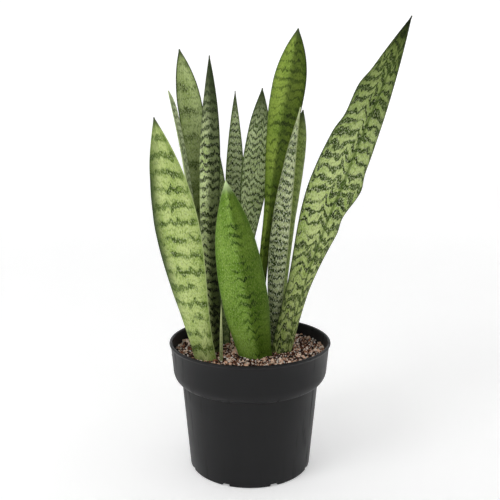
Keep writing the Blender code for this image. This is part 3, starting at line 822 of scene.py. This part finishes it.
# %% The table of leaves
# sizes are in mm and turns in degrees; necks, widest places and folds are shares
LEAF_FOOT = 98
BLADE_THICKNESS = 3.4   # along the middle of a blade
LEAVES = {
    "leaf_front_left": dict(
        slot="leaf_light_green", foot=(-42, -27), tip=(-86, -52, 355),
        low_bow=(-5, -4), high_bow=(-1, -8), half_width=24.5, neck=0.08, widest=0.58,
        foot_share=0.58, power=2.0, face=62, turn=12, cup=(55, 28)),
    "leaf_front_centre": dict(
        slot="leaf_bright_green", foot=(12, -23), tip=(-22, -58, 299),
        low_bow=(-3, -4), high_bow=(-2, -8), half_width=23.5, neck=0.0, widest=0.42,
        foot_share=0.74, power=2.7, face=98, turn=-8, cup=(50, 32)),
    "leaf_tall_right": dict(
        slot="leaf_banded_green", foot=(30, -10), tip=(156, 12, 452),
        low_bow=(-23, -6), high_bow=(-15, -8), half_width=26.5, neck=0.22, widest=0.54,
        foot_share=0.50, power=1.8, face=112, turn=-30, cup=(60, 32),
        fold=(1.6, 0.22), wave=0.7, left_kink=(2.2, 0.76),
        right_kink=(3.0, 0.51)),
    "leaf_tall_centre": dict(
        slot="leaf_olive_green", foot=(2, 7), tip=(48, 30, 443),
        low_bow=(-3, 0), high_bow=(-10, 4), half_width=19.5, neck=0.42, widest=0.82,
        foot_share=0.28, power=2.3, face=62, turn=0, cup=(70, 25)),
    "leaf_pale_spear": dict(
        slot="leaf_pale_green", foot=(28, 5), tip=(48, -14, 365),
        low_bow=(-15, 0), high_bow=(-12, 2), half_width=11, neck=0.08, widest=0.50,
        foot_share=0.62, power=1.7, face=68, turn=0, cup=(60, 40)),
    "leaf_short_right": dict(
        slot="leaf_olive_green", foot=(36, 19), tip=(54, 34, 364),
        low_bow=(-17, 2), high_bow=(0, 4), half_width=12.5, neck=0.20, widest=0.80,
        foot_share=0.60, power=3.0, face=125, turn=0, cup=(60, 30)),
    "leaf_grey_middle": dict(
        slot="leaf_grey_green", foot=(-12, 16), tip=(13, 56, 387),
        low_bow=(-8, 4), high_bow=(0, 6), half_width=17, neck=0.32, widest=0.72,
        foot_share=0.36, power=2.0, face=-55, turn=-12, cup=(65, 28)),
    "leaf_needle": dict(
        slot="leaf_grey_green", foot=(-14, 34), tip=(-16, 72, 385),
        low_bow=(0, 3), high_bow=(0, 3), half_width=12, neck=0.15, widest=0.58,
        foot_share=0.50, power=1.9, face=-108, turn=0, cup=(60, 30)),
    "leaf_dark_tip": dict(
        slot="leaf_dark_green", foot=(-33, -11), tip=(-40, 20, 416),
        low_bow=(-11, 3), high_bow=(-4, 1), half_width=12.5, neck=0.15, widest=0.68,
        foot_share=0.72, power=2.0, face=66, turn=0, cup=(65, 38)),
    "leaf_shaded": dict(
        slot="leaf_dark_green", foot=(-25, 15), tip=(-40, 38, 352),
        low_bow=(2, 2), high_bow=(3, 2), half_width=11, neck=0.15, widest=0.60,
        foot_share=0.50, power=2.0, face=-60, turn=0, cup=(60, 30)),
    "leaf_rear_left": dict(
        slot="leaf_light_green", foot=(-42, 20), tip=(-74, 62, 427),
        low_bow=(6, 4), high_bow=(11, 4), half_width=14, neck=0.15, widest=0.80,
        foot_share=0.50, power=2.2, face=-62, turn=-10, cup=(60, 28)),
    "leaf_edge_left": dict(
        slot="leaf_dark_green", foot=(-54, 6), tip=(-83, 36, 383),
        low_bow=(10, 2), high_bow=(16, 4), half_width=8, neck=0.10, widest=0.80,
        foot_share=0.60, power=7.0, face=-10, turn=-6, cup=(50, 22)),
    "leaf_sprout": dict(
        slot="leaf_pale_green", foot=(-29, -33), tip=(-27, -42, 184),
        low_bow=(1, 0), high_bow=(-1, 0), half_width=1.7, neck=0.0, widest=0.30,
        foot_share=0.80, power=1.5, face=90, turn=0, cup=(60, 60), thickness=0.6, wave=0.2),
}
print(len(LEAVES), "leaves, up to", max(leaf["tip"][2] for leaf in LEAVES.values()), "mm high")

# %% [markdown]
# No two leaves of a clump look the same. Young ones are bright, old ones dull, and each
# has bands of its own height, strength and raggedness. Some also get painted shade over
# their foot, one half or a strip beside a margin. What a leaf doesn't say here it takes
# from the pattern's own values.

# %% The look of each leaf's skin
LOOKS = {
    "leaf_front_left": {
        "Light": "BAC880", "Cloud": "92A656", "Dark": "66802E", "Deep": "223606",
        "Pale": "CCD8A4", "Margin": "A4B474", "Spacing": 16.0, "Cut": 0.28, "Outline": 1.0,
        # a strip of painted shade along the left margin
        "Strip side": -1.0, "Strip middle": 160.0, "Strip reach": 110.0, "Strip width": 19.0,
        "Foot tint": "FFFFFF", "Strength": 0.8, "Wander": 4.0, "Light flecks": 0.4,
        "Dark flecks": 0.35, "Seed": 1.0},
    "leaf_front_centre": {
        "Light": "80A044", "Cloud": "5E8024", "Dark": "3C5C14", "Deep": "142A00",
        "Pale": "A8BE74", "Margin": "5E7A34", "Spacing": 9.0, "Cut": 0.35, "Strength": 0.15,
        "Outline": 0.9, "Thin bands": 0.4, "Column place": 1.5, "Column width": 12.0,
        # painted shade over the right half, and slightly over the foot
        "Column strength": 0.85, "Side": 1.0, "Side tint": "B8BC98", "Foot reach": 210.0,
        "Foot tint": "F4F4F0", "Zigzag": 4.0, "Zigzag width": 6.0, "Light flecks": 0.4,
        "Tip": "BACE96", "Dark flecks": 0.35, "Seed": 2.0},
    "leaf_tall_right": {
        "Light": "BECD88", "Cloud": "94AA58", "Dark": "42581C", "Deep": "1A2806",
        "Pale": "D6DEB4", "Margin": "2A3614", "Margin width": 2.0, "Spacing": 11.5, "Cut": 0.0,
        "Outline": 1.0, "Tip": "141A06", "Tip reach": 44.0, "Top tint": "A0A884",
        # painted shade towards the foot and along the fold's line
        "Top reach": 190.0, "Foot tint": "E4E4D2", "Foot reach": 280.0, "Zigzag": 9.0,
        "Zigzag width": 13.0, "Fold line": 6.0, "Fold strength": 0.7, "Break": 0.2,
        "Blotch": 0.45, "Strength": 0.95, "Dark flecks": 0.35, "Light flecks": 0.5,
        "Thin bands": 0.35, "Seed": 3.0},
    "leaf_tall_centre": {
        "Light": "8AA040", "Cloud": "6A842C", "Dark": "3E5410", "Deep": "0E1A00",
        "Pale": "98AA5C", "Margin": "1E2C08", "Spacing": 9.0, "Cut": 0.35, "Strength": 0.6,
        # painted shade over the right half
        "Outline": 1.0, "Dark flecks": 0.3, "Light flecks": 0.3, "Side": 1.0,
        "Side tint": "A4A890", "Seed": 4.0},
    "leaf_pale_spear": {
        "Light": "B8C294", "Cloud": "86945A", "Dark": "384A1E", "Deep": "141E08",
        "Pale": "DCE2C6", "Margin": "98A270", "Spacing": 7.5, "Cut": -0.05, "Zigzag width": 6.0,
        "Outline": 1.0, "Tip": "B4BD92", "Rim": 0.2, "Rim width": 3.0, "Light flecks": 0.6,
        "Blotch": 0.9, "Strength": 0.95, "Dark flecks": 0.3, "Thin bands": 0.3, "Jitter": 2.0,
        "Seed": 5.0},
    "leaf_short_right": {
        "Light": "8A9C52", "Cloud": "74883C", "Dark": "4C602A", "Deep": "26360F",
        "Pale": "9CAC68", "Margin": "36441C", "Spacing": 8.0, "Cut": 0.2, "Strength": 0.5,
        "Outline": 0.5, "Tip reach": 30.0, "Rim width": 3.0, "Seed": 6.0},
    "leaf_grey_middle": {
        "Light": "D0DEA6", "Cloud": "A0B272", "Dark": "52682E", "Deep": "101C00",
        "Pale": "DCE6C2", "Margin": "45552A", "Spacing": 7.5, "Cut": 0.1, "Zigzag": 5.0,
        "Zigzag width": 6.0, "Outline": 1.0, "Tip reach": 50.0, "Rim width": 4.0,
        "Strength": 0.95, "Light flecks": 0.55, "Dark flecks": 0.4, "Jitter": 1.4, "Seed": 7.0},
    "leaf_needle": {
        "Light": "B6C490", "Cloud": "8C9C64", "Dark": "485C26", "Deep": "101C00",
        "Pale": "D8E0C0", "Margin": "4E602E", "Spacing": 7.0, "Cut": 0.1, "Zigzag width": 6.0,
        # painted shade over the lower blade
        "Outline": 1.0, "Tip reach": 34.0, "Rim width": 3.0, "Foot tint": "A8A89C",
        "Foot reach": 300.0, "Strength": 0.95, "Light flecks": 0.6, "Dark flecks": 0.45,
        "Seed": 8.0},
    "leaf_dark_tip": {
        "Light": "D2E0A4", "Cloud": "A8BC72", "Dark": "3E501A", "Deep": "0C1400",
        "Pale": "D2DAB4", "Margin": "2E3C14", "Spacing": 8.5, "Cut": 0.08, "Outline": 1.0,
        # painted shade over the right half and towards the foot
        "Side": 1.0, "Side tint": "8C9084", "Tip": "2C361E", "Tip reach": 120.0,
        "Zigzag width": 6.0, "Rim width": 3.5, "Foot tint": "B4B4A4", "Foot reach": 240.0,
        "Strength": 0.95, "Blotch": 0.8, "Dark flecks": 0.4, "Light flecks": 0.5, "Jitter": 1.4,
        "Seed": 9.0},
    "leaf_shaded": {
        "Light": "9AAC68", "Cloud": "84985A", "Dark": "566838", "Deep": "2C3A18",
        "Margin": "3C4A26", "Spacing": 8.0, "Cut": 0.1, "Foot tint": "FFFFFF", "Seed": 10.0},
    "leaf_rear_left": {
        "Light": "AEBE7E", "Cloud": "92A45E", "Dark": "465C1E", "Deep": "142200",
        "Pale": "BECA98", "Margin": "26340F", "Spacing": 26.0, "Cut": 0.5, "Strength": 0.6,
        # heavy painted shade over most of the lower blade
        "Outline": 1.0, "Foot tint": "5C604C", "Foot reach": 330.0, "Dark flecks": 0.4,
        "Jitter": 1.4, "Seed": 11.0},
    "leaf_edge_left": {
        "Light": "D0DAB0", "Cloud": "B4C08C", "Dark": "6E8050", "Deep": "2C3A18",
        "Margin": "A6B37F", "Spacing": 7.0, "Cut": 0.1, "Tip": "B4C090", "Rim": 0.0,
        "Seed": 12.0},
    "leaf_sprout": {
        "Light": "B4BC86", "Cloud": "9AA66A", "Dark": "7C8C54", "Deep": "4A5A30",
        "Margin": "AAB27E", "Spacing": 6.0, "Cut": 0.3, "Strength": 0.5, "Rim": 0.0,
        "Seed": 13.0},
}
skins = {name: leaf_skin(name.removeprefix("leaf_"), look) for name, look in LOOKS.items()}
print("made", len(skins), "skins")

# %% [markdown]
# To grow a leaf, an empty object gets the tree as a modifier, whose inputs are set by
# their identifiers, and the result is kept as a plain mesh. Its faces are then turned to
# point outwards, and its box is held against the frame's.

# %% Grow the leaves
def leaf_values(name, leaf, seed):
    """What the leaf tree is told for one leaf, in metres and radians."""
    foot = Vector((*leaf["foot"], LEAF_FOOT)) * MM
    tip = Vector(leaf["tip"]) * MM
    handles = [foot.lerp(tip, part) + Vector((*bow, 0)) * MM
               for part, bow in ((1 / 3, leaf["low_bow"]), (2 / 3, leaf["high_bow"]))]
    fold_depth, fold_place = leaf.get("fold", (0, 0))
    left_kink, left_place = leaf.get("left_kink", (0, 0))
    right_kink, right_place = leaf.get("right_kink", (0, 0))
    return {
        "Foot": foot, "Lower handle": handles[0], "Upper handle": handles[1], "Tip": tip,
        "Half width": leaf["half_width"] * MM, "Foot share": leaf["foot_share"],
        "Neck": leaf["neck"], "Widest": leaf["widest"], "Tip power": leaf["power"],
        "Face": math.radians(leaf["face"]), "Turn": math.radians(leaf["turn"]),
        "Foot cup": math.radians(leaf["cup"][0]), "Blade cup": math.radians(leaf["cup"][1]),
        "Thickness": BLADE_THICKNESS * FOOT_SWELL * leaf.get("thickness", 1) * MM,
        "Wave": leaf.get("wave", 1.3) * MM, "Fold depth": fold_depth * MM,
        "Fold place": fold_place, "Left kink": left_kink * MM,
        "Left kink place": left_place, "Right kink": right_kink * MM,
        "Right kink place": right_place, "Seed": seed, "Skin": skins[name],
    }


def grown(name, tree, values, start=None):
    """The plain mesh that a Geometry Nodes tree makes with these named inputs."""
    host = bpy.data.objects.new("host", start or bpy.data.meshes.new("host"))
    bpy.context.scene.collection.objects.link(host)
    modifier = host.modifiers.new("grow", 'NODES')
    modifier.node_group = tree
    for item in tree.interface.items_tree:
        if item.in_out == 'INPUT' and item.name in values:
            value = values[item.name]
            if isinstance(value, (int, float)) and item.socket_type == 'NodeSocketFloat':
                value = float(value)
            modifier[item.identifier] = list(value) if isinstance(value, Vector) else value
    mesh = baked(host, name)
    host.modifiers.clear()
    bpy.data.objects.remove(host)
    return mesh


leaves = []
for number, (name, leaf) in enumerate(LEAVES.items()):
    mesh = grown(name + "_blade", leaf_tree, leaf_values(name, leaf, 3.7 * number))
    bm = bmesh.new()
    bm.from_mesh(mesh)
    bmesh.ops.recalc_face_normals(bm, faces=bm.faces)
    bm.to_mesh(mesh)
    bm.free()
    mesh.shade_smooth()
    mesh.set_sharp_from_angle(angle=math.radians(70))
    leaves.append(new_piece(name + "_blade", mesh, leaf["slot"], name))
    points = [vertex.co for vertex in mesh.vertices]
    grown_box = [[pick(p[axis] for p in points) for axis in range(3)] for pick in (min, max)]
    furthest = max(abs(a - b) for pair in zip(grown_box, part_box(name)) for a, b in zip(*pair))
    print("  furthest from the frame's box:", round(furthest / MM, 2), "mm")

# %% [markdown]
# ## The potting mix
#
# The mix is composted bark, coir and a little perlite, moist enough to be a dark reddish
# brown, with paler, pinkish bits where the top has dried. Its top is a gentle mound of
# loose crumbs a millimetre or three across. The frame's solid fills the pot below; here it
# gets a thin uneven bed on top, and Geometry Nodes scatter crumbs, chips and perlite over
# that, keeping clear of the leaves.

# %% Finishes of the mix
def crumbly(name, steps, size_mm, roughness):
    """Rough crumbs, whose colour steps follow each crumb's own tone and a fine grain."""
    material, tree, shader = new_material(name, Roughness=roughness, IOR=1.4)
    place = add(tree, 'ShaderNodeTexCoord').outputs["Object"]
    tone = add(tree, 'ShaderNodeAttribute', attribute_name="tone").outputs["Fac"]
    grain = add(tree, 'ShaderNodeTexNoise',
                {"Vector": place, "Scale": 1 / (size_mm * MM), "Detail": 3.0})
    spread = add(tree, 'ShaderNodeMapRange', [grain, 0.25, 0.75, -0.22, 0.22])
    mixed = add(tree, 'ShaderNodeMath', [tone, spread], operation='ADD', use_clamp=True)
    ramp = add(tree, 'ShaderNodeValToRGB', [mixed])
    while len(ramp.color_ramp.elements) < len(steps):
        ramp.color_ramp.elements.new(0.5)
    for element, (position, code) in zip(ramp.color_ramp.elements, steps):
        element.position, element.color = position, colour(code)
    bump = add(tree, 'ShaderNodeBump', {"Height": grain, "Strength": 0.8,
                                        "Distance": 0.25 * MM})
    dress(shader, Base_Color=ramp, Normal=bump)
    return material


bark = crumbly("composted_bark_and_coir", [
    (0.0, "150904"), (0.45, "3A1C0C"), (0.60, "8A5236"), (0.74, "DDB090"), (1.0, "F8E6D4")],
    0.7, 0.85)
perlite = crumbly("expanded_perlite", [(0.0, "C9BDB0"), (0.5, "E6DFD6"), (1.0, "F6F3EF")],
                  0.5, 0.9)
print("made", bark.name, "and", perlite.name)


def bulk_mix():
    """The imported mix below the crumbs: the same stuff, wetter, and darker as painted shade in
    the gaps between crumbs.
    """
    material, tree, shader = new_material("moist_potting_mix_with_painted_gap_shade", IOR=1.4)
    place = add(tree, 'ShaderNodeTexCoord').outputs["Object"]
    lumps = add(tree, 'ShaderNodeTexVoronoi', {"Vector": place, "Scale": 1 / (2.2 * MM)})
    lump_tone = add(tree, 'ShaderNodeSeparateColor', [lumps.outputs["Color"]]).outputs[0]
    grain = add(tree, 'ShaderNodeTexNoise',
                {"Vector": place, "Scale": 1 / (0.7 * MM), "Detail": 3.0})
    tint = add(tree, 'ShaderNodeMix', [lump_tone, colour("2A1710"), colour("5A3626")],
               data_type='RGBA')
    rough = add(tree, 'ShaderNodeMapRange', [grain, 0.3, 0.7, 0.75, 0.95])
    height = add(tree, 'ShaderNodeMath', [lumps.outputs["Distance"], -1.0, grain],
                 operation='MULTIPLY_ADD')
    bump = add(tree, 'ShaderNodeBump', {"Height": height, "Strength": 0.9,
                                        "Distance": 0.8 * MM})
    dress(shader, Base_Color=tint, Roughness=rough, Normal=bump)
    return material


def refinish(name, material):
    """Gives a solid of the frame, whose shape stays, a finish of its own."""
    nodes[name].data.materials.clear()
    nodes[name].data.materials.append(material)
    print(name, "is now", material.name)


# moist mix, painted darker as the shade in the gaps between the crumbs
packed = bulk_mix()
refinish("potting_mix", packed)

# %% [markdown]
# Between the crumbs the mix itself shows, so it gets a bed with dips and lumps. It is
# turned like the pot, as a thin closed disc, and only its top is then raised and lowered.

# %% The uneven bed on top
MIX_CENTRE, MIX_EDGE = 121 * MM, 118.5 * MM     # the mound's heights
BED_RINGS, BED_STEPS = 44, 150
BED_THICKNESS = 2 * MM
BED_RADIUS = band_radius(MIX_EDGE) - WALL - 0.4 * MM


def bed_height(x, y, radius):
    """Height of the mix's top: the mound, slow dips, and lumps of a few millimetres."""
    mound = MIX_CENTRE - (MIX_CENTRE - MIX_EDGE) * (radius / BED_RADIUS) ** 2
    dips = 1.3 * noise.noise(Vector((x, y, 0.004)) / (19 * MM))
    lumps = 0.8 * noise.noise(Vector((x, y, 0.031)) / (4.5 * MM))
    return mound + (dips + lumps + 0.6) * MM


def make_bed():
    bm = turned([(0, MIX_CENTRE - 0.5 * MM)]
                + [(BED_RADIUS * k / BED_RINGS, MIX_CENTRE) for k in range(1, BED_RINGS + 1)]
                + [(BED_RADIUS, MIX_EDGE - BED_THICKNESS),
                   (0, MIX_CENTRE - BED_THICKNESS)], BED_STEPS)
    for vertex in bm.verts:
        x, y, z = vertex.co
        if z > MIX_CENTRE - 1 * MM:
            vertex.co.z = bed_height(x, y, math.hypot(x, y))
    return mesh_of(bm, "mix_bed", packed)


bed = new_piece("mix_bed", make_bed(), "potting_mix")

# %% [markdown]
# ## Crumbs, chips and perlite
#
# One tree scatters all three. It picks points on the upward faces, drops those that would
# lie in a leaf, and sets a rough nugget on each, turned and sized at random but always
# the same way for the same seed. A nugget is a ball of a few dozen faces pushed out of
# shape. Each keeps a random tone, which its finish turns into a shade of brown.

# %% The crumb tree
crumb_tree = bpy.data.node_groups.new("crumbs on a bed", 'GeometryNodeTree')
for name, kind in (("Bed", 'Geometry'), ("Leaves", 'Object'), ("Per square metre", 'Float'),
                   ("Apart", 'Float'), ("Smallest", 'Float'), ("Largest", 'Float'),
                   ("Flatness", 'Float'), ("Clearance", 'Float'), ("Sink", 'Float'),
                   ("Detail", 'Int'), ("Seed", 'Int'), ("Finish", 'Material')):
    crumb_tree.interface.new_socket(name, in_out='INPUT', socket_type='NodeSocket' + kind)
crumb_tree.interface.new_socket("Crumbs", in_out='OUTPUT', socket_type='NodeSocketGeometry')
given = add(crumb_tree, 'NodeGroupInput').outputs
normal_up = add(crumb_tree, 'ShaderNodeSeparateXYZ',
                [add(crumb_tree, 'GeometryNodeInputNormal')]).outputs[2]
upward = add(crumb_tree, 'FunctionNodeCompare', [normal_up, 0.5], data_type='FLOAT',
             operation='GREATER_THAN')
points = add(crumb_tree, 'GeometryNodeDistributePointsOnFaces',
             {"Mesh": given["Bed"], "Selection": upward, "Distance Min": given["Apart"],
              "Density Max": given["Per square metre"], "Seed": given["Seed"]},
             distribute_method='POISSON')
blades = add(crumb_tree, 'GeometryNodeObjectInfo', [given["Leaves"]]).outputs["Geometry"]
nearest = add(crumb_tree, 'GeometryNodeProximity', [blades])
crowded = add(crumb_tree, 'FunctionNodeCompare',
              [nearest.outputs["Distance"], given["Clearance"]], data_type='FLOAT',
              operation='LESS_THAN')
clear = add(crumb_tree, 'GeometryNodeDeleteGeometry', [points, crowded])

nuggets = add(crumb_tree, 'GeometryNodeJoinGeometry')
for variant in range(4):
    ball = add(crumb_tree, 'GeometryNodeMeshIcoSphere',
               {"Radius": 0.5, "Subdivisions": given["Detail"]})
    push = add(crumb_tree, 'ShaderNodeTexNoise',
               {"Vector": add(crumb_tree, 'GeometryNodeInputPosition'), "W": 7.3 * variant,
                "Scale": 1.9, "Detail": 1.0}, noise_dimensions='4D').outputs["Color"]
    centred = add(crumb_tree, 'ShaderNodeVectorMath', [push, (0.5, 0.5, 0.5)],
                  operation='SUBTRACT')
    offset = add(crumb_tree, 'ShaderNodeVectorMath', {0: centred, "Scale": 1.5},
                 operation='SCALE')
    rough = add(crumb_tree, 'GeometryNodeSetPosition', {"Geometry": ball, "Offset": offset})
    crumb_tree.links.new(add(crumb_tree, 'GeometryNodeGeometryToInstance', [rough]).outputs[0],
                         nuggets.inputs[0])

turn = add(crumb_tree, 'FunctionNodeRandomValue',
           {"Max": (math.tau, math.tau, math.tau), "Seed": given["Seed"]},
           data_type='FLOAT_VECTOR')
size = add(crumb_tree, 'FunctionNodeRandomValue',
           {"Min": given["Smallest"], "Max": given["Largest"], "Seed": given["Seed"]},
           data_type='FLOAT')
print("the crumb tree so far has", len(crumb_tree.nodes), "nodes")

# %% [markdown]
# The nuggets are put on the points as instances, which cost nothing. A crumb's tone is
# written on its instance, and Realize Instances then turns them all into plain faces.

# %% The crumb tree: set, shade and finish
set_down = add(crumb_tree, 'GeometryNodeInstanceOnPoints',
               {"Points": clear, "Instance": nuggets, "Pick Instance": True,
                "Rotation": turn, "Scale": size})
flat_scale = add(crumb_tree, 'ShaderNodeCombineXYZ', [1.0, 0.8, given["Flatness"]])
flattened = add(crumb_tree, 'GeometryNodeScaleInstances', [set_down, None, flat_scale])
tone = add(crumb_tree, 'FunctionNodeRandomValue', {"Min": 0.0, "Max": 1.0, "Seed": 77},
           data_type='FLOAT')
toned = add(crumb_tree, 'GeometryNodeStoreNamedAttribute',
            {"Geometry": flattened, "Name": "tone", "Value": tone},
            data_type='FLOAT', domain='INSTANCE')
real = add(crumb_tree, 'GeometryNodeRealizeInstances', [toned])
sunk = add(crumb_tree, 'GeometryNodeSetPosition',
           {"Geometry": real, "Offset": add(crumb_tree, 'ShaderNodeCombineXYZ',
                                            [0.0, 0.0, given["Sink"]])})
finished = add(crumb_tree, 'GeometryNodeSetMaterial', [sunk, None, given["Finish"]])
add(crumb_tree, 'NodeGroupOutput', [finished])
print("the crumb tree has", len(crumb_tree.nodes), "nodes")


# %% [markdown]
# The leaves' feet are joined into one passing object that the tree can measure from. Fine
# crumbs go on first, then larger chips, then the white grains of perlite, each with its
# own clearance and seed.

# %% Scatter the crumbs, chips and perlite
ABOVE_CRUMBS = 135 * MM


def clump():
    """One passing object of all the leaves' feet, for the crumbs to keep clear of."""
    bm = bmesh.new()
    for leaf in leaves:
        bm.from_mesh(leaf.data)
    blades_above = [face for face in bm.faces
                    if face.calc_center_median().z > ABOVE_CRUMBS]
    bmesh.ops.delete(bm, geom=blades_above, context='FACES')
    mesh = bpy.data.meshes.new("clump")
    bm.to_mesh(mesh)
    bm.free()
    item = bpy.data.objects.new("clump", mesh)
    bpy.context.scene.collection.objects.link(item)
    return item


obstacle = clump()
for name, values in (
        ("bark_crumbs", {
            "Per square metre": 700000.0, "Apart": 1.15 * MM, "Smallest": 1.1 * MM,
            "Largest": 2.9 * MM, "Flatness": 0.55, "Clearance": 1.2 * MM, "Sink": 0.1 * MM,
            "Detail": 1, "Seed": 4, "Finish": bark}),
        ("bark_chips", {
            "Per square metre": 60000.0, "Apart": 4.2 * MM, "Smallest": 2.8 * MM,
            "Largest": 5.5 * MM, "Flatness": 0.45, "Clearance": 3.2 * MM, "Sink": 0.5 * MM,
            "Detail": 2, "Seed": 9, "Finish": bark}),
        ("perlite_grains", {
            "Per square metre": 60000.0, "Apart": 3.0 * MM, "Smallest": 0.9 * MM,
            "Largest": 2.3 * MM, "Flatness": 0.9, "Clearance": 2.0 * MM, "Sink": 0.8 * MM,
            "Detail": 2, "Seed": 15, "Finish": perlite})):
    mesh = grown(name, crumb_tree, {**values, "Leaves": obstacle}, start=bed.data.copy())
    new_piece(name, mesh, "potting_mix")
bpy.data.objects.remove(obstacle)

# %% [markdown]
# ## The buried stems
#
# The three rhizomes are thick, pale yellow-brown underground stems with ring scars where
# old scales grew. They can't be seen in the pot, so the frame's own solids stay, and only
# get their papery, ringed finish.

# %% Rhizome finish
def rhizome_skin():
    material, tree, shader = new_material("papery_rhizome_skin", Roughness=0.7, IOR=1.45)
    place = add(tree, 'ShaderNodeTexCoord').outputs["Object"]
    rings = add(tree, 'ShaderNodeTexWave',
                {"Vector": place, "Scale": 0.35 / (6 * MM), "Distortion": 2.5, "Detail": 2.0},
                bands_direction='Y')
    tint = add(tree, 'ShaderNodeMix', [rings, colour("A9803F"), colour("D3B06E")],
               data_type='RGBA')
    bump = add(tree, 'ShaderNodeBump', {"Height": rings, "Strength": 0.6,
                                        "Distance": 0.4 * MM})
    dress(shader, Base_Color=tint, Normal=bump)
    return material


papery = rhizome_skin()
for name in ("rhizome_left", "rhizome_centre", "rhizome_right"):
    refinish(name, papery)

# %% [markdown]
# ## The floor
#
# The plant stands in a plain white bowl: a round floor that curves up into a wall on
# every side, so that no edge of it ever shows. It is lit faintly from behind, which keeps
# the shadows open, and it is turned from an outline, as the pot is.

# %% The white bowl
FLOOR_RADIUS, BEND, BOWL_HEIGHT = 1.9, 0.5, 3.2     # metres


def matt_white():
    material, tree, shader = new_material("backlit_matt_white_acrylic", Roughness=0.9,
                                          Emission_Color=(1, 1, 1, 1),
                                          Emission_Strength=0.26)
    place = add(tree, 'ShaderNodeTexCoord').outputs["Object"]
    grain = add(tree, 'ShaderNodeTexNoise', {"Vector": place, "Scale": 8.0, "Detail": 2.0})
    tint = add(tree, 'ShaderNodeMix', [grain, colour("FAFAFA"), colour("FFFFFF")],
               data_type='RGBA')
    dress(shader, Base_Color=tint)
    return material


def make_sweep():
    """A round floor that curves up into a wall on every side, turned as one sheet."""
    bend = arc((FLOOR_RADIUS, BEND), (BEND, BEND), -90, 0, 15)
    outline = [(0, 0), *bend, (FLOOR_RADIUS + BEND, BOWL_HEIGHT)]
    bm = turned([(radius, height - 0.2 * MM) for radius, height in outline], 64)
    floor_faces = [face for face in bm.faces if face.normal.z < -0.5]
    bmesh.ops.reverse_faces(bm, faces=floor_faces)      # a floor looks up
    sweep = bpy.data.objects.new("sweep", mesh_of(bm, "sweep", matt_white()))
    bpy.context.scene.collection.objects.link(sweep)
    print("the bowl is", 2 * (FLOOR_RADIUS + BEND), "m wide")


make_sweep()

# %% [markdown]
# ## Light and camera
#
# A large soft key light hangs to the left and in front, and a weak one overhead, so the
# dark pot shows its roundness by soft gradients alone. An even white sky fills in.

# %% Lights
def soft_light(name, place, target, size, power):
    light = bpy.data.lights.new(name, 'AREA')
    light.shape, light.size, light.energy = 'DISK', size, power
    item = bpy.data.objects.new(name, light)
    bpy.context.scene.collection.objects.link(item)
    item.location = place
    item.rotation_euler = (Vector(target) - Vector(place)).to_track_quat('-Z', 'Y').to_euler()


middle = (0.02, 0.0, 0.22)
soft_light("key", (-1.1, -0.9, 1.1), middle, 0.8, 7.4)
soft_light("top", (0.0, 0.2, 1.7), middle, 1.0, 0.5)
world = bpy.data.worlds.new("white_sky")
world.use_nodes = True
sky = world.node_tree.nodes["Background"]
sky.inputs["Color"].default_value = (1, 1, 1, 1)
sky.inputs["Strength"].default_value = 0.15
bpy.context.scene.world = world
bpy.context.scene.view_settings.view_transform = 'Standard'
print("two soft lights and a white sky")

# %% [markdown]
# The camera stands two thirds of a metre away, a little above the leaves' middle, and
# looks slightly down, so that the pot's rim shows as an open ellipse.

# %% Camera
LOOKS_DOWN = 10.23      # degrees
camera = bpy.data.objects.new("camera", bpy.data.cameras.new("camera"))
bpy.context.scene.collection.objects.link(camera)
camera.data.lens, camera.data.sensor_width = 48, 36
camera.location = (0, -0.660, 0.344)
camera.rotation_euler = (math.radians(90 - LOOKS_DOWN), 0, 0)
bpy.context.scene.camera = camera
print("camera at", [round(v, 3) for v in camera.location], "looking down", LOOKS_DOWN)
